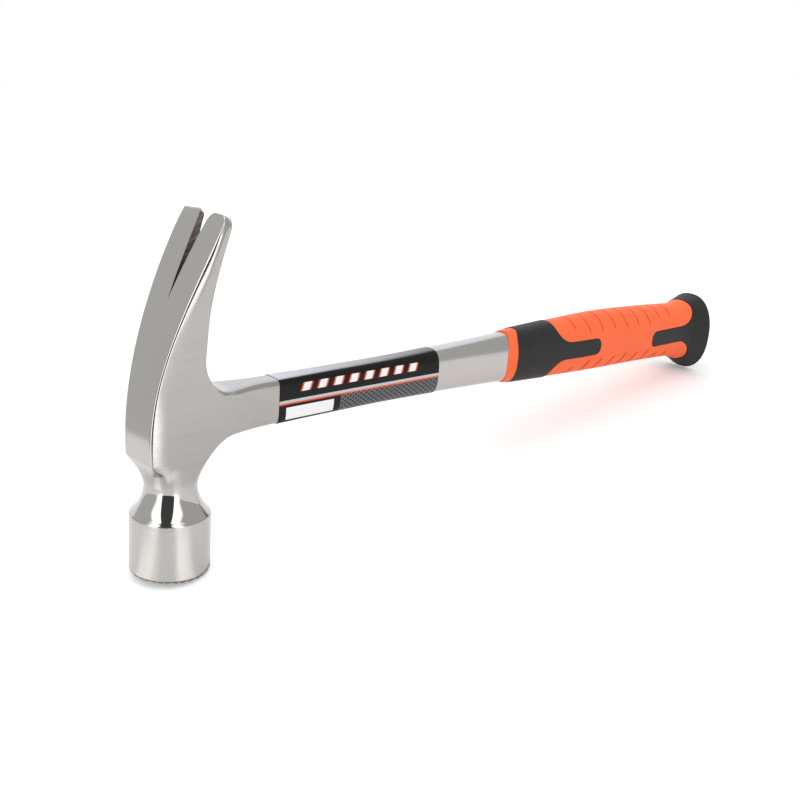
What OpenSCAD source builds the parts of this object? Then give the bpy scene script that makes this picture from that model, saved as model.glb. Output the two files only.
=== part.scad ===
// Framing hammer: one forged steel piece from claw to tang, with a two-colour moulded grip.
// Millimetres. Origin at the centre of the striking face, +X toward the butt, +Z up, +Y to the far side.
// The shapes are drawn with the head upright along Z and the handle along X. Each part is then tipped
// about the face's centre by one angle, so that the face's rim and the butt stand on one level floor.

/* [Head] */
// Diameter of the striking face and poll
face_diameter = 33; // [29:0.5:36]
// Height of the round poll above the face
poll_height = 25; // [20:0.5:28]
// Chamfer round the edge of the face
face_chamfer = 1.2; // [0.6:0.1:2]
// Diameter at the waist of the neck
neck_diameter = 21.8; // [18:0.2:25]
// Height of the waist above the face
waist_height = 37; // [34:0.5:40]
// Width of the strap, the flat outer face of the head, at its narrowest
strap_width = 19.6; // [17:0.2:21]
// Distance from the head axis to the strap at its furthest
strap_reach = 15.4; // [14:0.2:18]
// Thickness over the cheeks
cheek_thickness = 22.6; // [21:0.2:25]
// Depth of the rounded shoulder between strap and cheek
shoulder_depth = 6; // [3:0.5:8]

/* [Claw] */
// Height of the claw tips above the face
head_height = 147; // [132:1:156]
// How far the tips lean from the strap's furthest line toward the handle
claw_lean = 29.2; // [22:0.2:36]
// Width across both tips
claw_width = 30.2; // [27:0.2:34]
// Thickness of the claw at its tips
tip_thickness = 5.2; // [3:0.1:7]
// Rounding of the outer corners of the tips
tip_round = 3; // [1.5:0.1:4]
// Height of the bottom of the nail notch above the face
notch_height = 113.5; // [108:0.5:120]
// Width of the nail notch at the tips
notch_width = 6.6; // [5:0.1:8]
// How many times wider the notch is at the back of the claw
notch_flare = 1.9; // [1.2:0.1:2.2]

/* [Waffle face] */
// Distance between the milled grooves of the face
tooth_pitch = 2.8; // [2.4:0.1:3.6]
// Depth of the milled grooves
tooth_depth = 0.7; // [0.4:0.1:1]

/* [Shank] */
// Distance from the head axis to the start of the shank's straight edges
shank_root = 25.5; // [23:0.5:28]
// Fillet between the claw and the shank
upper_fillet = 17.8; // [14:0.2:19]
// Fillet between the neck and the shank
lower_fillet = 21; // [18:0.5:23]
// Height of the shank's centre line above the face, at the head axis
shank_level = 65; // [63:0.2:68]
// Thickness of the shank behind the head
shank_thickness = 11.5; // [9:0.1:14]
// Height of the shank behind the head
shank_height = 19.8; // [18.6:0.2:21.4]
// Thickness of the shank where it enters the grip
shank_end_thickness = 16.2; // [14:0.1:18]
// Height of the shank where it enters the grip
shank_end_height = 25.2; // [22:0.2:26]

/* [Grip] */
// Distance from the head axis to the front of the grip
grip_start = 189.5; // [180:0.5:200]
// Length of the grip, to its butt
grip_length = 174; // [166:0.5:182]
// How far the collar stands out from the shank all round
collar_rim = 0.7; // [0.4:0.1:1.5]
// Width of the collar in front of the front sleeve
collar_width = 8; // [5:0.5:10]
// Height of the grip at the palm
palm_height = 32.4; // [30:0.2:35]
// Height of the grip in front of the flared butt
tail_height = 30.9; // [29:0.1:33]
// Height of the butt's rim
rim_height = 44.4; // [40:0.2:46]
// Width of the grip as a part of its height, at the front
front_ratio = 0.645; // [0.62:0.005:0.7]
// Width of the butt as a part of its height
rim_ratio = 0.7; // [0.66:0.01:0.78]
// How far the handle's centre line drops toward the butt
butt_droop = 3.8; // [1:0.1:6]
// Height that the thin grooves reach down the sides of the grip
rib_reach = 9; // [6:0.5:11]
// Distance between the thin grooves across the top and bottom of the grip
rib_pitch = 10.8; // [9:0.1:11.6]
// Depth of the thin grooves
rib_depth = 0.6; // [0.3:0.1:0.9]
// Width of the thin grooves
rib_width = 0.8; // [0.5:0.1:1.4]

/* [Overmould] */
// Thickness of the black overmould where it lies on the core
mould_thickness = 2; // [1.4:0.1:2.4]
// How far the black overmould stands out from the core
mould_proud = 0.35; // [0.1:0.05:0.8]
// Length of the front sleeve behind the collar, without its tongues
sleeve_length = 27; // [20:0.5:32]
// Length of the tongues of the sleeve and of the butt cap
tongue_length = 39; // [30:0.5:44]
// Height of the tongues
tongue_height = 9.4; // [7:0.2:11]
// Length of the butt cap, without its tongues
cap_length = 12; // [10:0.5:14]

/* [Label] */
// Distance from the head axis to the front end of the label
label_start = 49; // [46:0.5:56]
// Length of the label
label_length = 95; // [70:0.5:110]
// Thickness of the label film
label_film = 0.25; // [0.15:0.05:0.4]

/* [Hidden] */
$fn = 96;
neck_r = neck_diameter / 2;
face_r = face_diameter / 2;
grip_end = grip_start + grip_length;
// Heights on the strap: its furthest point, and where it begins and ends to widen
belly_height = 58.4;
spread_start = 59.5;
spread_end = head_height - 3.5;
// Bend of the strap's curve in side view
strap_bend = 50.5;
// How far the cheeks stand out past the strap's edges in the claw
cheek_proud = 0.9;
// Where the cheeks begin and end their taper to the shank's thickness
taper_start = 6;
taper_end = 44;
// Crown of the inner wall at the neck, at the claw's root and at its tips
neck_crown = 2.2;
claw_crown = 0.5;
tip_crown = 0.2;
// Height where the claw's underside begins to bow, and how far the claw's rows start above the fillet
bow_start = 103;
claw_rise = 4.5;
// Where the shank begins to grow thicker and higher toward the grip
thicker_start = 60;
higher_start = 100;
// How much shallower the second set of crossed grooves in the face is
second_cut = 0.06;
// Overlap of the poll and the neck, and the neck's margin inside the poll
lap = 1;
lap_margin = 0.03;
// Tang: thickness and height at the collar, in the palm and at its wider end
collar_tang_thickness = 10;
collar_tang_height = 18.8;
palm_tang_thickness = 8.4;
palm_tang_height = 14;
end_tang_thickness = 12;
end_tang_height = 19;
// Grip: rim, start of the flare, middle of the palm, and start of the droop
butt_dome = 1.5;
flare_length = 22.5;
flare_drop = 1.8;
rim_x = grip_end - butt_dome;
flare_start = grip_end - flare_length;
palm_x = grip_start + 0.47 * grip_length;
droop_start = 250;
// How far the core ends before the butt, and the lean and shift of the grooves behind the palm's middle
core_short = 7;
top_rib_lean = 15;
bottom_rib_lean = 30;
rib_shift = 14;
// Tongues: fillet at the root, radius of the tip, and drop below the centre line
tongue_fillet = 11;
tongue_round = 4;
tongue_drop = 0.7;
// Squareness of the shank's section behind the head and of the grip's
square_shank = 7;
square_grip = 2.3;
// Steps of a section: strap, shoulder, cheek, half of the inner wall
n_strap = 3;
n_shoulder = 3;
n_cheek = 7;
n_wall = 4;
n_half = n_strap + n_shoulder + n_cheek + n_wall;
n_corner = n_half - n_wall;
n_ring = 8 * n_wall;
// Rows of the head: neck, lower fillet, shank root, upper fillet, claw
n_neck = 8;
n_lower = 4;
n_root = 2 * n_wall;
n_upper = 6;
row_shoulder = n_neck + 1;
row_bottom = row_shoulder + n_lower;
row_top = row_bottom + n_root;
row_claw = row_top + n_upper;

function mix(a, b, t) = a + (b - a) * t;
function unit(t) = min(max(t, 0), 1);
function ease(t) = let (u = unit(t)) u * u * (3 - 2 * u);
function power(v, e) = sign(v) * pow(abs(v), e);

// Shank section at x: centre height, half height, half thickness, squareness
function centre_z(x) = shank_level - 0.0079 * x
    - butt_droop * pow(unit((x - droop_start) / (rim_x - droop_start)), 2);
function shank_hz(x) = shank_height / 2
    + (shank_end_height - shank_height) / 2
        * pow(unit((x - higher_start) / (grip_start - higher_start)), 1.5);
function shank_hy(x) = mix(shank_thickness, shank_end_thickness,
        pow(unit((x - thicker_start) / (grip_start - thicker_start)), 1.5)) / 2
    + (cheek_thickness - shank_thickness) / 2
        * (1 - ease((x - taper_start) / (taper_end - taper_start)));
function shank_square(x) = x < thicker_start
    ? mix(square_shank, 5, unit((x - shank_root) / (thicker_start - shank_root)))
    : mix(5, square_grip, pow(unit((x - thicker_start) / (grip_start - thicker_start)), 0.6));

// Closed oval in the plane of x, from its lower near corner up the near side
function oval(x, cz, hy, hz, sq) = [for (k = [0:n_ring - 1]) let (a = -45 + 360 * k / n_ring)
    [x, -hy * power(cos(a), 2 / sq), cz + hz * power(sin(a), 2 / sq)]];
function shank_ring(x, grow = 0) =
    oval(x, centre_z(x), shank_hy(x) + grow, shank_hz(x) + grow, shank_square(x));

// Strap: its line in side view, half width, and the half gap of the nail notch
strap_k = sqrt(pow(claw_lean + strap_bend, 2) - pow(strap_bend, 2)) / (head_height - belly_height);
function strap_x(z) = -strap_reach - strap_bend
    + sqrt(pow(strap_bend, 2) + pow(strap_k * (z - belly_height), 2));
function strap_slope(z) = pow(strap_k, 2) * (z - belly_height) / (strap_x(z) + strap_reach + strap_bend);
function round_in(r, d) = d < r ? r - sqrt(max(r * r - pow(r - d, 2), 0)) : 0;
function strap_hw(z) = mix(strap_width, claw_width,
        ease((z - spread_start) / (spread_end - spread_start))) / 2
    - round_in(tip_round, head_height - z);
function notch_hw(z) = notch_width / 2 * unit((z - notch_height) / (head_height - notch_height))
    + round_in(tip_round, head_height - z) * 0.6;
function cheek_hy(z) = max(cheek_thickness / 2, strap_hw(z) + cheek_proud);

// Rails of the head in side view, one point per row above the neck
corner = pow(0.5, 1 / square_shank);
root_low = centre_z(shank_root) - shank_hz(shank_root) * corner;
root_high = centre_z(shank_root) + shank_hz(shank_root) * corner;
lower_z = root_low - lower_fillet * (1 - cos(45));
upper_z = root_high + upper_fillet;
claw_root = shank_root - upper_fillet;
tip_x = strap_x(head_height);
tip_slope = strap_slope(head_height);
tip_in = [tip_x + tip_thickness / sqrt(1 + pow(tip_slope, 2)),
    head_height - tip_slope * tip_thickness / sqrt(1 + pow(tip_slope, 2))];
claw_z = upper_z + claw_rise;
claw_height = head_height - claw_z;
claw_steps = [0.09, 0.18, 0.27, (notch_height - claw_z) / claw_height, 0.46, 0.56, 0.66, 0.75, 0.83, 0.9,
    1 - 0.66 * tip_round / claw_height, 1 - 0.3 * tip_round / claw_height,
    1 - 0.08 * tip_round / claw_height, 1];
row_notch = row_claw + 4;
row_tip = row_claw + len(claw_steps);
function underside_x(z) = mix(claw_root, tip_in[0],
    pow(unit((z - bow_start) / (tip_in[1] - bow_start)), 2));

// Row: strap height, inner corner [x, z], outward way of the inner wall, its crown, edge factor
root_crown = shank_hz(shank_root) * (1 - corner);
function lower_row(i) = let (a = 135 - 45 * i / n_lower, t = i / n_lower)
    [mix(lower_z, root_low, t),
        [shank_root + lower_fillet * cos(a), root_low - lower_fillet * (1 - sin(a))],
        [-cos(a), -sin(a)], mix(neck_crown, root_crown, ease(t)), mix(0.97, corner, t)];
function root_row(i) = let (a = -45 + 90 * i / n_root,
        z = centre_z(shank_root) + shank_hz(shank_root) * power(sin(a), 2 / square_shank))
    [z, [shank_root, z], [0, i == 0 ? -1 : 1], root_crown, power(cos(a), 2 / square_shank)];
function upper_row(i) = let (a = 270 - 90 * i / n_upper, t = i / n_upper)
    [mix(root_high, claw_z, t), [shank_root + upper_fillet * cos(a), upper_z + upper_fillet * sin(a)],
        [-cos(a), -sin(a)], mix(root_crown, claw_crown, t), mix(corner, 0.95, t)];
function claw_row(s) = let (zu = mix(upper_z, tip_in[1], s))
    [mix(claw_z, head_height, s), [underside_x(zu), zu], [1, -0.5 * s], mix(claw_crown, tip_crown, s), 0.95];
rows = concat([for (i = [0:n_lower]) lower_row(i)], [for (i = [1:n_root]) root_row(i)],
    [for (i = [1:n_upper]) upper_row(i)], [for (s = claw_steps) claw_row(s)]);

// Near half of a section, from the middle of the strap round to the middle of the inner wall
function side_y(x, t, z) = let (full = mix(strap_hw(z), cheek_hy(z), 1 - pow(1 - unit(t), 2)))
    full - (full - shank_thickness / 2) * ease((x - taper_start) / (taper_end - taper_start));
function half_section(r) = let (z0 = r[0], x0 = strap_x(z0), c = r[1], hw = strap_hw(z0),
        sh = min(shoulder_depth / norm([c[0] - x0, c[1] - z0]), 0.5),
        gap = z0 > notch_height + 0.01 ? notch_hw(z0) : 0)
    concat(
        [for (k = [0:n_strap]) [x0, -mix(gap, hw, k / n_strap), z0]],
        [for (k = [1:n_shoulder + n_cheek]) let (
                u = k <= n_shoulder ? sh * k / n_shoulder : mix(sh, 1, (k - n_shoulder) / n_cheek),
                x = mix(x0, c[0], u))
            [x, -side_y(x, u / sh, z0) * mix(1, r[4], u * u), mix(z0, c[1], u)]],
        [for (k = [1:n_wall]) let (a = 45 + 45 * k / n_wall,
                y = power(cos(a), 2 / square_shank) / corner,
                o = r[3] * (power(sin(a), 2 / square_shank) - corner) / (1 - corner))
            [c[0] + r[2][0] * o,
                -mix(gap * notch_flare, side_y(c[0], 1 / sh, z0) * r[4], y),
                c[1] + r[2][1] * o]]);

// Neck: round at the waist, opening out to the first section above it
function neck_angle(j) = j <= n_strap ? 180 + 33.7 * j / n_strap
    : j <= n_strap + n_shoulder ? mix(213.7, 234, (j - n_strap) / n_shoulder)
    : j <= n_corner ? mix(234, 316, (j - n_strap - n_shoulder) / n_cheek)
    : mix(316, 360, (j - n_corner) / n_wall);
function waist_ring(r, z) = [for (j = [0:n_half]) [r * cos(neck_angle(j)), r * sin(neck_angle(j)), z]];
function neck_open(t) = (sqrt(0.25 + t * t) - 0.5) / (sqrt(1.25) - 0.5);
function neck_row(t) = let (a = waist_ring(neck_r - lap_margin, waist_height), b = half_section(rows[0]))
    [for (j = [0:n_half]) let (w = neck_open(t))
        [mix(a[j][0], b[j][0], w), mix(a[j][1], b[j][1], w), mix(waist_height, b[j][2], t)]];

// Tang inside the grip: [place along the grip, thickness, height]
tang = [[0, collar_tang_thickness, collar_tang_height], [0.68, palm_tang_thickness, palm_tang_height],
    [0.78, palm_tang_thickness, palm_tang_height], [0.84, end_tang_thickness, end_tang_height]];
function tang_ring(t) = let (x = grip_start + t[0] * grip_length)
    oval(x, centre_z(x), t[1] / 2, t[2] / 2, 4);

// Head, shank and tang as one skin of near rows, mirrored far rows and shank rings
shank_x = concat([for (i = [1:5]) mix(shank_root, label_start, i / 5)],
    [for (i = [1:6]) mix(label_start, label_start + label_length, i / 6)],
    [for (i = [1:4]) mix(label_start + label_length, grip_start, i / 4)]);
near_rows = concat([waist_ring(neck_r - 0.6 * lap, waist_height - lap)],
    [for (i = [0:n_neck - 1]) neck_row(i / n_neck)], [for (r = rows) half_section(r)]);
shank_rings = concat([for (x = shank_x) shank_ring(x)], [for (t = tang) tang_ring(t)]);
n_row = n_half + 1;
far_at = len(near_rows) * n_row;
ring_at = 2 * far_at;
function seam(i, j) = i <= row_notch && (j == 0 || j == n_half);
function at(far, i, j) = (far == 0 || seam(i, j) ? 0 : far_at) + i * n_row + j;
root_ring = concat([for (i = [row_bottom:row_top]) at(0, i, n_corner)],
    [for (j = [n_corner + 1:n_half]) at(0, row_top, j)],
    [for (j = [n_half - 1:-1:n_corner]) at(1, row_top, j)],
    [for (i = [row_top - 1:-1:row_bottom]) at(1, i, n_corner)],
    [for (j = [n_corner + 1:n_half]) at(1, row_bottom, j)],
    [for (j = [n_half - 1:-1:n_corner + 1]) at(0, row_bottom, j)]);
function ring_point(s, k) = s == 0 ? root_ring[k % n_ring] : ring_at + (s - 1) * n_ring + k % n_ring;
function quad(a, b, c, d) = [[a, b, c], [a, c, d]];
function turn(far, f) = far == 0 ? f : [f[2], f[1], f[0]];

module head_and_shank() {
    flipped = [for (r = near_rows) for (p = r) [p[0], -p[1], p[2]]];
    skin = [for (far = [0, 1]) for (i = [0:row_tip - 1]) for (j = [0:n_half - 1])
        if (j < n_corner || i < row_bottom || i >= row_top)
            for (f = quad(at(far, i, j), at(far, i + 1, j), at(far, i + 1, j + 1), at(far, i, j + 1)))
                turn(far, f)];
    notch = [for (far = [0, 1]) for (i = [row_notch:row_tip - 1])
        for (f = quad(at(far, i, n_half), at(far, i + 1, n_half), at(far, i + 1, 0), at(far, i, 0)))
            turn(far, f)];
    middle = (near_rows[row_tip][0] + near_rows[row_tip][n_corner]) / 2;
    middle_at = ring_at + len(shank_rings) * n_ring;
    tips = [for (far = [0, 1]) for (j = [0:n_half])
        turn(far, [middle_at + far, at(far, row_tip, (j + 1) % n_row), at(far, row_tip, j)])];
    waist = [[for (j = [0:n_half]) at(0, 0, j), for (j = [n_half - 1:-1:1]) at(1, 0, j)]];
    shank = [for (s = [0:len(shank_rings) - 1]) for (k = [0:n_ring - 1])
        each quad(ring_point(s, k), ring_point(s, k + 1), ring_point(s + 1, k + 1), ring_point(s + 1, k))];
    end = [[for (k = [0:n_ring - 1]) ring_point(len(shank_rings), k)]];
    polyhedron(points = concat([for (r = near_rows) each r], flipped, [for (r = shank_rings) each r],
            [middle, [middle[0], -middle[1], middle[2]]]),
        faces = concat(skin, notch, tips, waist, shank, end));
}

// Poll turned round the head axis, from the face to the waist
module poll() {
    depth = waist_height - poll_height;
    flare = face_r - neck_r;
    r = (flare * flare + depth * depth) / (2 * flare);
    rotate_extrude()
        polygon(concat([[0, 0], [face_r - face_chamfer, 0], [face_r, face_chamfer], [face_r, poll_height]],
            [for (i = [1:8]) let (d = depth * (1 - i / 8))
                [neck_r + r - sqrt(r * r - d * d), waist_height - d]],
            [[neck_r - 0.6 * lap, waist_height + lap], [0, waist_height + lap]]));
}

module groove(depth) {
    rotate([90, 0, 0]) linear_extrude(2 * face_diameter, center = true)
        scale(depth) polygon([[-1.2, -0.2], [1.2, -0.2], [0, 1]]);
}

// Parallel grooves across the face, with a land on its centre
module groove_set(turn, depth) {
    count = floor(face_r / tooth_pitch);
    rotate(turn) for (i = [-count:count - 1]) translate([(i + 0.5) * tooth_pitch, 0, 0]) groove(depth);
}

module forging() {
    color("#b9b5ae") rest() union() {
        difference() {
            poll();
            groove_set(45, tooth_depth);
            groove_set(135, tooth_depth - second_cut);
        }
        head_and_shank();
    }
}

// Solid through a list of rings
module loft(rings) {
    m = len(rings);
    polyhedron(points = [for (r = rings) each r], faces = concat(
        [for (i = [0:m - 2]) for (k = [0:n_ring - 1]) let (a = i * n_ring, next = (k + 1) % n_ring)
            each quad(a + k, a + next, a + n_ring + next, a + n_ring + k)],
        [[for (k = [n_ring - 1:-1:0]) k]], [[for (k = [0:n_ring - 1]) (m - 1) * n_ring + k]]));
}

// Grip section at x
function flare(x) = pow(unit((x - flare_start) / (rim_x - flare_start)), 1.4);
function swell(x) = 1 - pow(1 - unit((x - grip_start) / (palm_x - grip_start)), 2);
function grip_hz(x) = (rim_height - tail_height) / 2 * flare(x) + (x < palm_x
    ? mix(shank_end_height / 2 + collar_rim, palm_height / 2, swell(x))
    : mix(palm_height, tail_height, ease((x - palm_x) / (flare_start - palm_x))) / 2);
function grip_hy(x) = grip_hz(x) * mix(front_ratio, rim_ratio, unit((x - grip_start) / grip_length));
function grip_centre(x) = centre_z(x) - flare_drop * flare(x);
function grip_ring(x, grow = 0, shrink = 1) = oval(x, grip_centre(x),
    (grip_hy(x) + grow) * shrink, (grip_hz(x) + grow) * shrink, square_grip);
grip_x = concat([for (i = [0:16]) mix(grip_start, flare_start, i / 16)],
    [for (i = [1:6]) mix(flare_start, rim_x, i / 6)]);

// Angle that brings the butt's rim down to the level of the face's rim
rim_low = grip_centre(rim_x) - grip_hz(rim_x) - mould_proud;
lean = atan(rim_low / (rim_x - face_r + face_chamfer));

module rest() {
    rotate([0, lean, 0]) children();
}

module grip_shape(grow) {
    loft(concat([for (x = grip_x) grip_ring(x, grow)],
        [grip_ring(mix(rim_x, grip_end, 0.6), grow, 0.97), grip_ring(grip_end, grow, 0.91)]));
}

// Thin grooves across the top and bottom of the grip, which lean back a little toward its sides
module ribs() {
    difference() {
        for (i = [0:8]) for (side = [-1, 1]) {
            x = palm_x + rib_shift + (i - 4) * rib_pitch;
            translate([x, 0, centre_z(x) + side * 0.86 * grip_hz(x)])
                rotate([0, side > 0 ? -top_rib_lean : bottom_rib_lean, 0])
                    cube([rib_width, palm_height, rib_reach], center = true);
        }
        grip_shape(-rib_depth);
    }
}

module core_shape() {
    loft([for (i = [0:15]) let (x = mix(grip_start, grip_end - core_short, i / 15))
        grip_ring(x, -mould_thickness)]);
}

function arc(x, z, r, from, to) = [for (i = [0:6]) let (a = mix(from, to, i / 6))
    [x + r * cos(a), z + r * sin(a)]];

// Side view of an overmould: from its far end x0 to its base x1, with a tongue beyond the base
module tongue_outline(x0, x1, way) {
    h = tongue_height / 2;
    r = tongue_fillet;
    tip = x1 + way * tongue_length;
    mid = centre_z((x1 + tip) / 2) - tongue_drop;
    top = concat([[0, rim_height]], arc(r, h + r, r, 180, 270),
        arc(tongue_length - tongue_round, h - tongue_round, tongue_round, 90, 0));
    bottom = [for (i = [len(top) - 1:-1:0]) [top[i][0], -top[i][1]]];
    outline = concat([[way * (x0 - x1), rim_height]], top, bottom, [[way * (x0 - x1), -rim_height]]);
    rotate([90, 0, 0]) linear_extrude(2 * rim_height, center = true)
        polygon([for (p = outline) [x1 + way * p[0], mid + p[1]]]);
}

module sleeve_region() {
    tongue_outline(grip_start + collar_width, grip_start + collar_width + sleeve_length, 1);
}

module cap_region() {
    tongue_outline(grip_end + cap_length, grip_end - cap_length, -1);
}

module grip_core() {
    color("#f5672f") rest() difference() {
        union() {
            core_shape();
            difference() {
                grip_shape(0);
                sleeve_region();
                cap_region();
                ribs();
            }
        }
        loft([for (t = tang) tang_ring(t)]);
    }
}

module front_sleeve() {
    color("#2b2b2b") rest() difference() {
        intersection() {
            grip_shape(mould_proud);
            sleeve_region();
        }
        core_shape();
    }
}

module butt_cap() {
    color("#2b2b2b") rest() difference() {
        intersection() {
            grip_shape(mould_proud);
            cap_region();
        }
        core_shape();
    }
}

module shank_label() {
    xs = [for (i = [0:6]) mix(label_start, label_start + label_length, i / 6)];
    inner = concat([label_start - lap], xs, [label_start + label_length + lap]);
    color("#3a3a3c") rest() difference() {
        loft([for (x = xs) shank_ring(x, label_film)]);
        loft([for (x = inner) shank_ring(x)]);
    }
}

forging();
grip_core();
front_sleeve();
butt_cap();
shank_label();
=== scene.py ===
"""Looks of a framing hammer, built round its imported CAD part.

Shapes are worked out in millimetres in the part's drawing frame, where the head stands upright along Z
and the handle runs along X. Stance then tips them as the hammer rests on its face and butt, in metres.
"""

import logging
import math
from collections.abc import Callable
from dataclasses import dataclass, field, replace
from enum import Enum

import bmesh
import bpy
import numpy as np
from mathutils import Matrix


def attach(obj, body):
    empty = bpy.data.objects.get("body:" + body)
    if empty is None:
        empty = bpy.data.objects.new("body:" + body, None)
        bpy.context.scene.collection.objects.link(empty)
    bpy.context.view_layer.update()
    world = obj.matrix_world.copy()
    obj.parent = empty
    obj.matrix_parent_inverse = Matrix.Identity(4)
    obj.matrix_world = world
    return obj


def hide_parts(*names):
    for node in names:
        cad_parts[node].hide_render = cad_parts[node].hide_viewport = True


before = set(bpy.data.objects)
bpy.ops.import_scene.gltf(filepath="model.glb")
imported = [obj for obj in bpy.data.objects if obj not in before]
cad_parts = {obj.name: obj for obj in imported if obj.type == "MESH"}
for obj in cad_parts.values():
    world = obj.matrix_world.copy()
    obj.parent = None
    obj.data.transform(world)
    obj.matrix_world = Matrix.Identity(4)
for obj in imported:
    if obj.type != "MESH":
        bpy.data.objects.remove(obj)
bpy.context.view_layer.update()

Array = np.ndarray
Colour = tuple[float, float, float]
Span = tuple[float, float]
MIRROR = np.array([1.0, -1.0, 1.0])
log = logging.getLogger("hammer")


class Slot(Enum):
    """Material slots of the record, one for each finish of the pieces."""

    STEEL = "steel"
    ORANGE = "grip_orange"
    BLACK = "grip_black"
    FILM = "label_film"


def mix(a: Array, b: Array, t: Array) -> Array:
    """Blend of a and b: a plus t times their difference."""
    return a + (b - a) * t


def unit(t: Array) -> Array:
    """t held between 0 and 1."""
    return np.clip(t, 0.0, 1.0)


def spaced(count: int) -> Array:
    """Values from 0 to 1 in a number of even steps."""
    return np.linspace(0.0, 1.0, count + 1)


def ease(t: Array) -> Array:
    """Smooth step from 0 to 1: three times the square less twice the cube."""
    u = unit(t)
    return u * u * (3.0 - 2.0 * u)


def power(v: Array, e: Array) -> Array:
    """Power of the size of v, with the sign of v kept."""
    return np.sign(v) * np.abs(v) ** e


def quarter(w: Array) -> Array:
    """Angle within a quarter turn, in radians: 45 degrees times the square of w, with its sign."""
    return math.radians(45.0) * power(w, 2.0)


def ring_angles(steps: int) -> Array:
    """Angles round a section from its lower near corner, closer together at the middle of each side.

    Args:
        steps: Points in an eighth of the turn.

    Returns:
        The angles of one turn, without the closing one.
    """
    w = np.linspace(-1.0, 1.0, 2 * steps + 1)[:-1]
    return np.concatenate([math.radians(90.0 * q) + quarter(w) for q in range(4)])


def bend(points: Array, first: int, corner: int, last: int, weight: Array) -> Array:
    """Rounds a corner of every row: a quadratic curve from column first to last, drawn to the corner.

    Args:
        points: Rows of points, shaped (rows, columns, 3).
        first: Column where the rounding begins.
        corner: Column of the corner.
        last: Column where the rounding ends.
        weight: How far each row takes the rounding, from 0 to 1.

    Returns:
        The rows with the corner rounded.
    """
    t = spaced(last - first)[None, :, None]
    start, tip, stop = (points[:, k, None] for k in (first, corner, last))
    curve = (1.0 - t) ** 2 * start + 2.0 * t * (1.0 - t) * tip + t**2 * stop
    made = points.copy()
    made[:, first : last + 1] = mix(points[:, first : last + 1], curve, weight[:, None, None])
    return made


@dataclass(frozen=True)
class Stance:
    """How the hammer rests: tipped about the centre of its face.

    Attributes:
        lean: Angle of the tip in radians, which brings the butt's rim down to the face's level.
    """

    lean: float

    def to_row(self, points: Array) -> Array:
        """Turns the points about Y by the lean and changes millimetres to metres.

        Args:
            points: Points in the drawing frame, in millimetres.

        Returns:
            The points of the resting hammer.
        """
        x, y, z = np.moveaxis(points, -1, 0)
        c, s = math.cos(self.lean), math.sin(self.lean)
        return 0.001 * np.stack([x * c + z * s, y, z * c - x * s], axis=-1)


class Skin:
    """Grids of points that are welded into one closed mesh."""

    WELD = 2e-6

    def __init__(self, name: str, marks: tuple[str, ...] = ()) -> None:
        """Starts an empty skin.

        Args:
            name: Name of the piece.
            marks: Names of the values that each point carries for the finish.
        """
        self.name = name
        self.points: list[Array] = []
        self.faces: list[Array] = []
        self.marks: dict[str, list[Array]] = {mark: [] for mark in marks}
        self.count = 0

    def lay(self, grid: Array, wrap: bool = False, **marks: Array) -> None:
        """Adds a grid of points and the quads between its neighbours.

        Args:
            grid: Points shaped (rows, columns, 3).
            wrap: Joins the last column to the first.
            marks: Values of the points, or one for all; those not given are 0.
        """
        rows, columns = grid.shape[:2]
        index = self.count + np.arange(rows * columns).reshape(rows, columns)
        if wrap:
            index = np.hstack([index, index[:, :1]])
        corners = [index[:-1, :-1], index[:-1, 1:], index[1:, 1:], index[1:, :-1]]
        self.faces.append(np.stack(corners, axis=-1).reshape(-1, 4))
        self.points.append(grid.reshape(-1, 3))
        for mark, values in self.marks.items():
            values.append(np.broadcast_to(marks.get(mark, 0.0), (rows, columns)).ravel())
        self.count += rows * columns

    def weld(self, stance: Stance, crease: float = 50.0) -> bpy.types.Object:
        """Makes the mesh, merges the seams, turns the faces outwards and shades them smooth.

        Args:
            stance: How the hammer rests.
            crease: Angle in degrees past which an edge is shaded sharp.

        Returns:
            The new object, with its place in its mesh.
        """
        mesh = bpy.data.meshes.new(self.name)
        points = stance.to_row(np.concatenate(self.points))
        mesh.from_pydata(points.tolist(), [], np.concatenate(self.faces).tolist())
        for mark, values in self.marks.items():
            layer = mesh.attributes.new(mark, "FLOAT", "POINT")
            layer.data.foreach_set("value", np.concatenate(values).astype(np.float32))
        shape = bmesh.new()
        shape.from_mesh(mesh)
        bmesh.ops.remove_doubles(shape, verts=shape.verts, dist=self.WELD)
        bmesh.ops.recalc_face_normals(shape, faces=shape.faces)
        shape.to_mesh(mesh)
        shape.free()
        mesh.polygons.foreach_set("use_smooth", np.ones(len(mesh.polygons), dtype=bool))
        mesh.set_sharp_from_angle(angle=math.radians(crease))
        piece = bpy.data.objects.new(self.name, mesh)
        bpy.context.scene.collection.objects.link(piece)
        return piece


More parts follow.
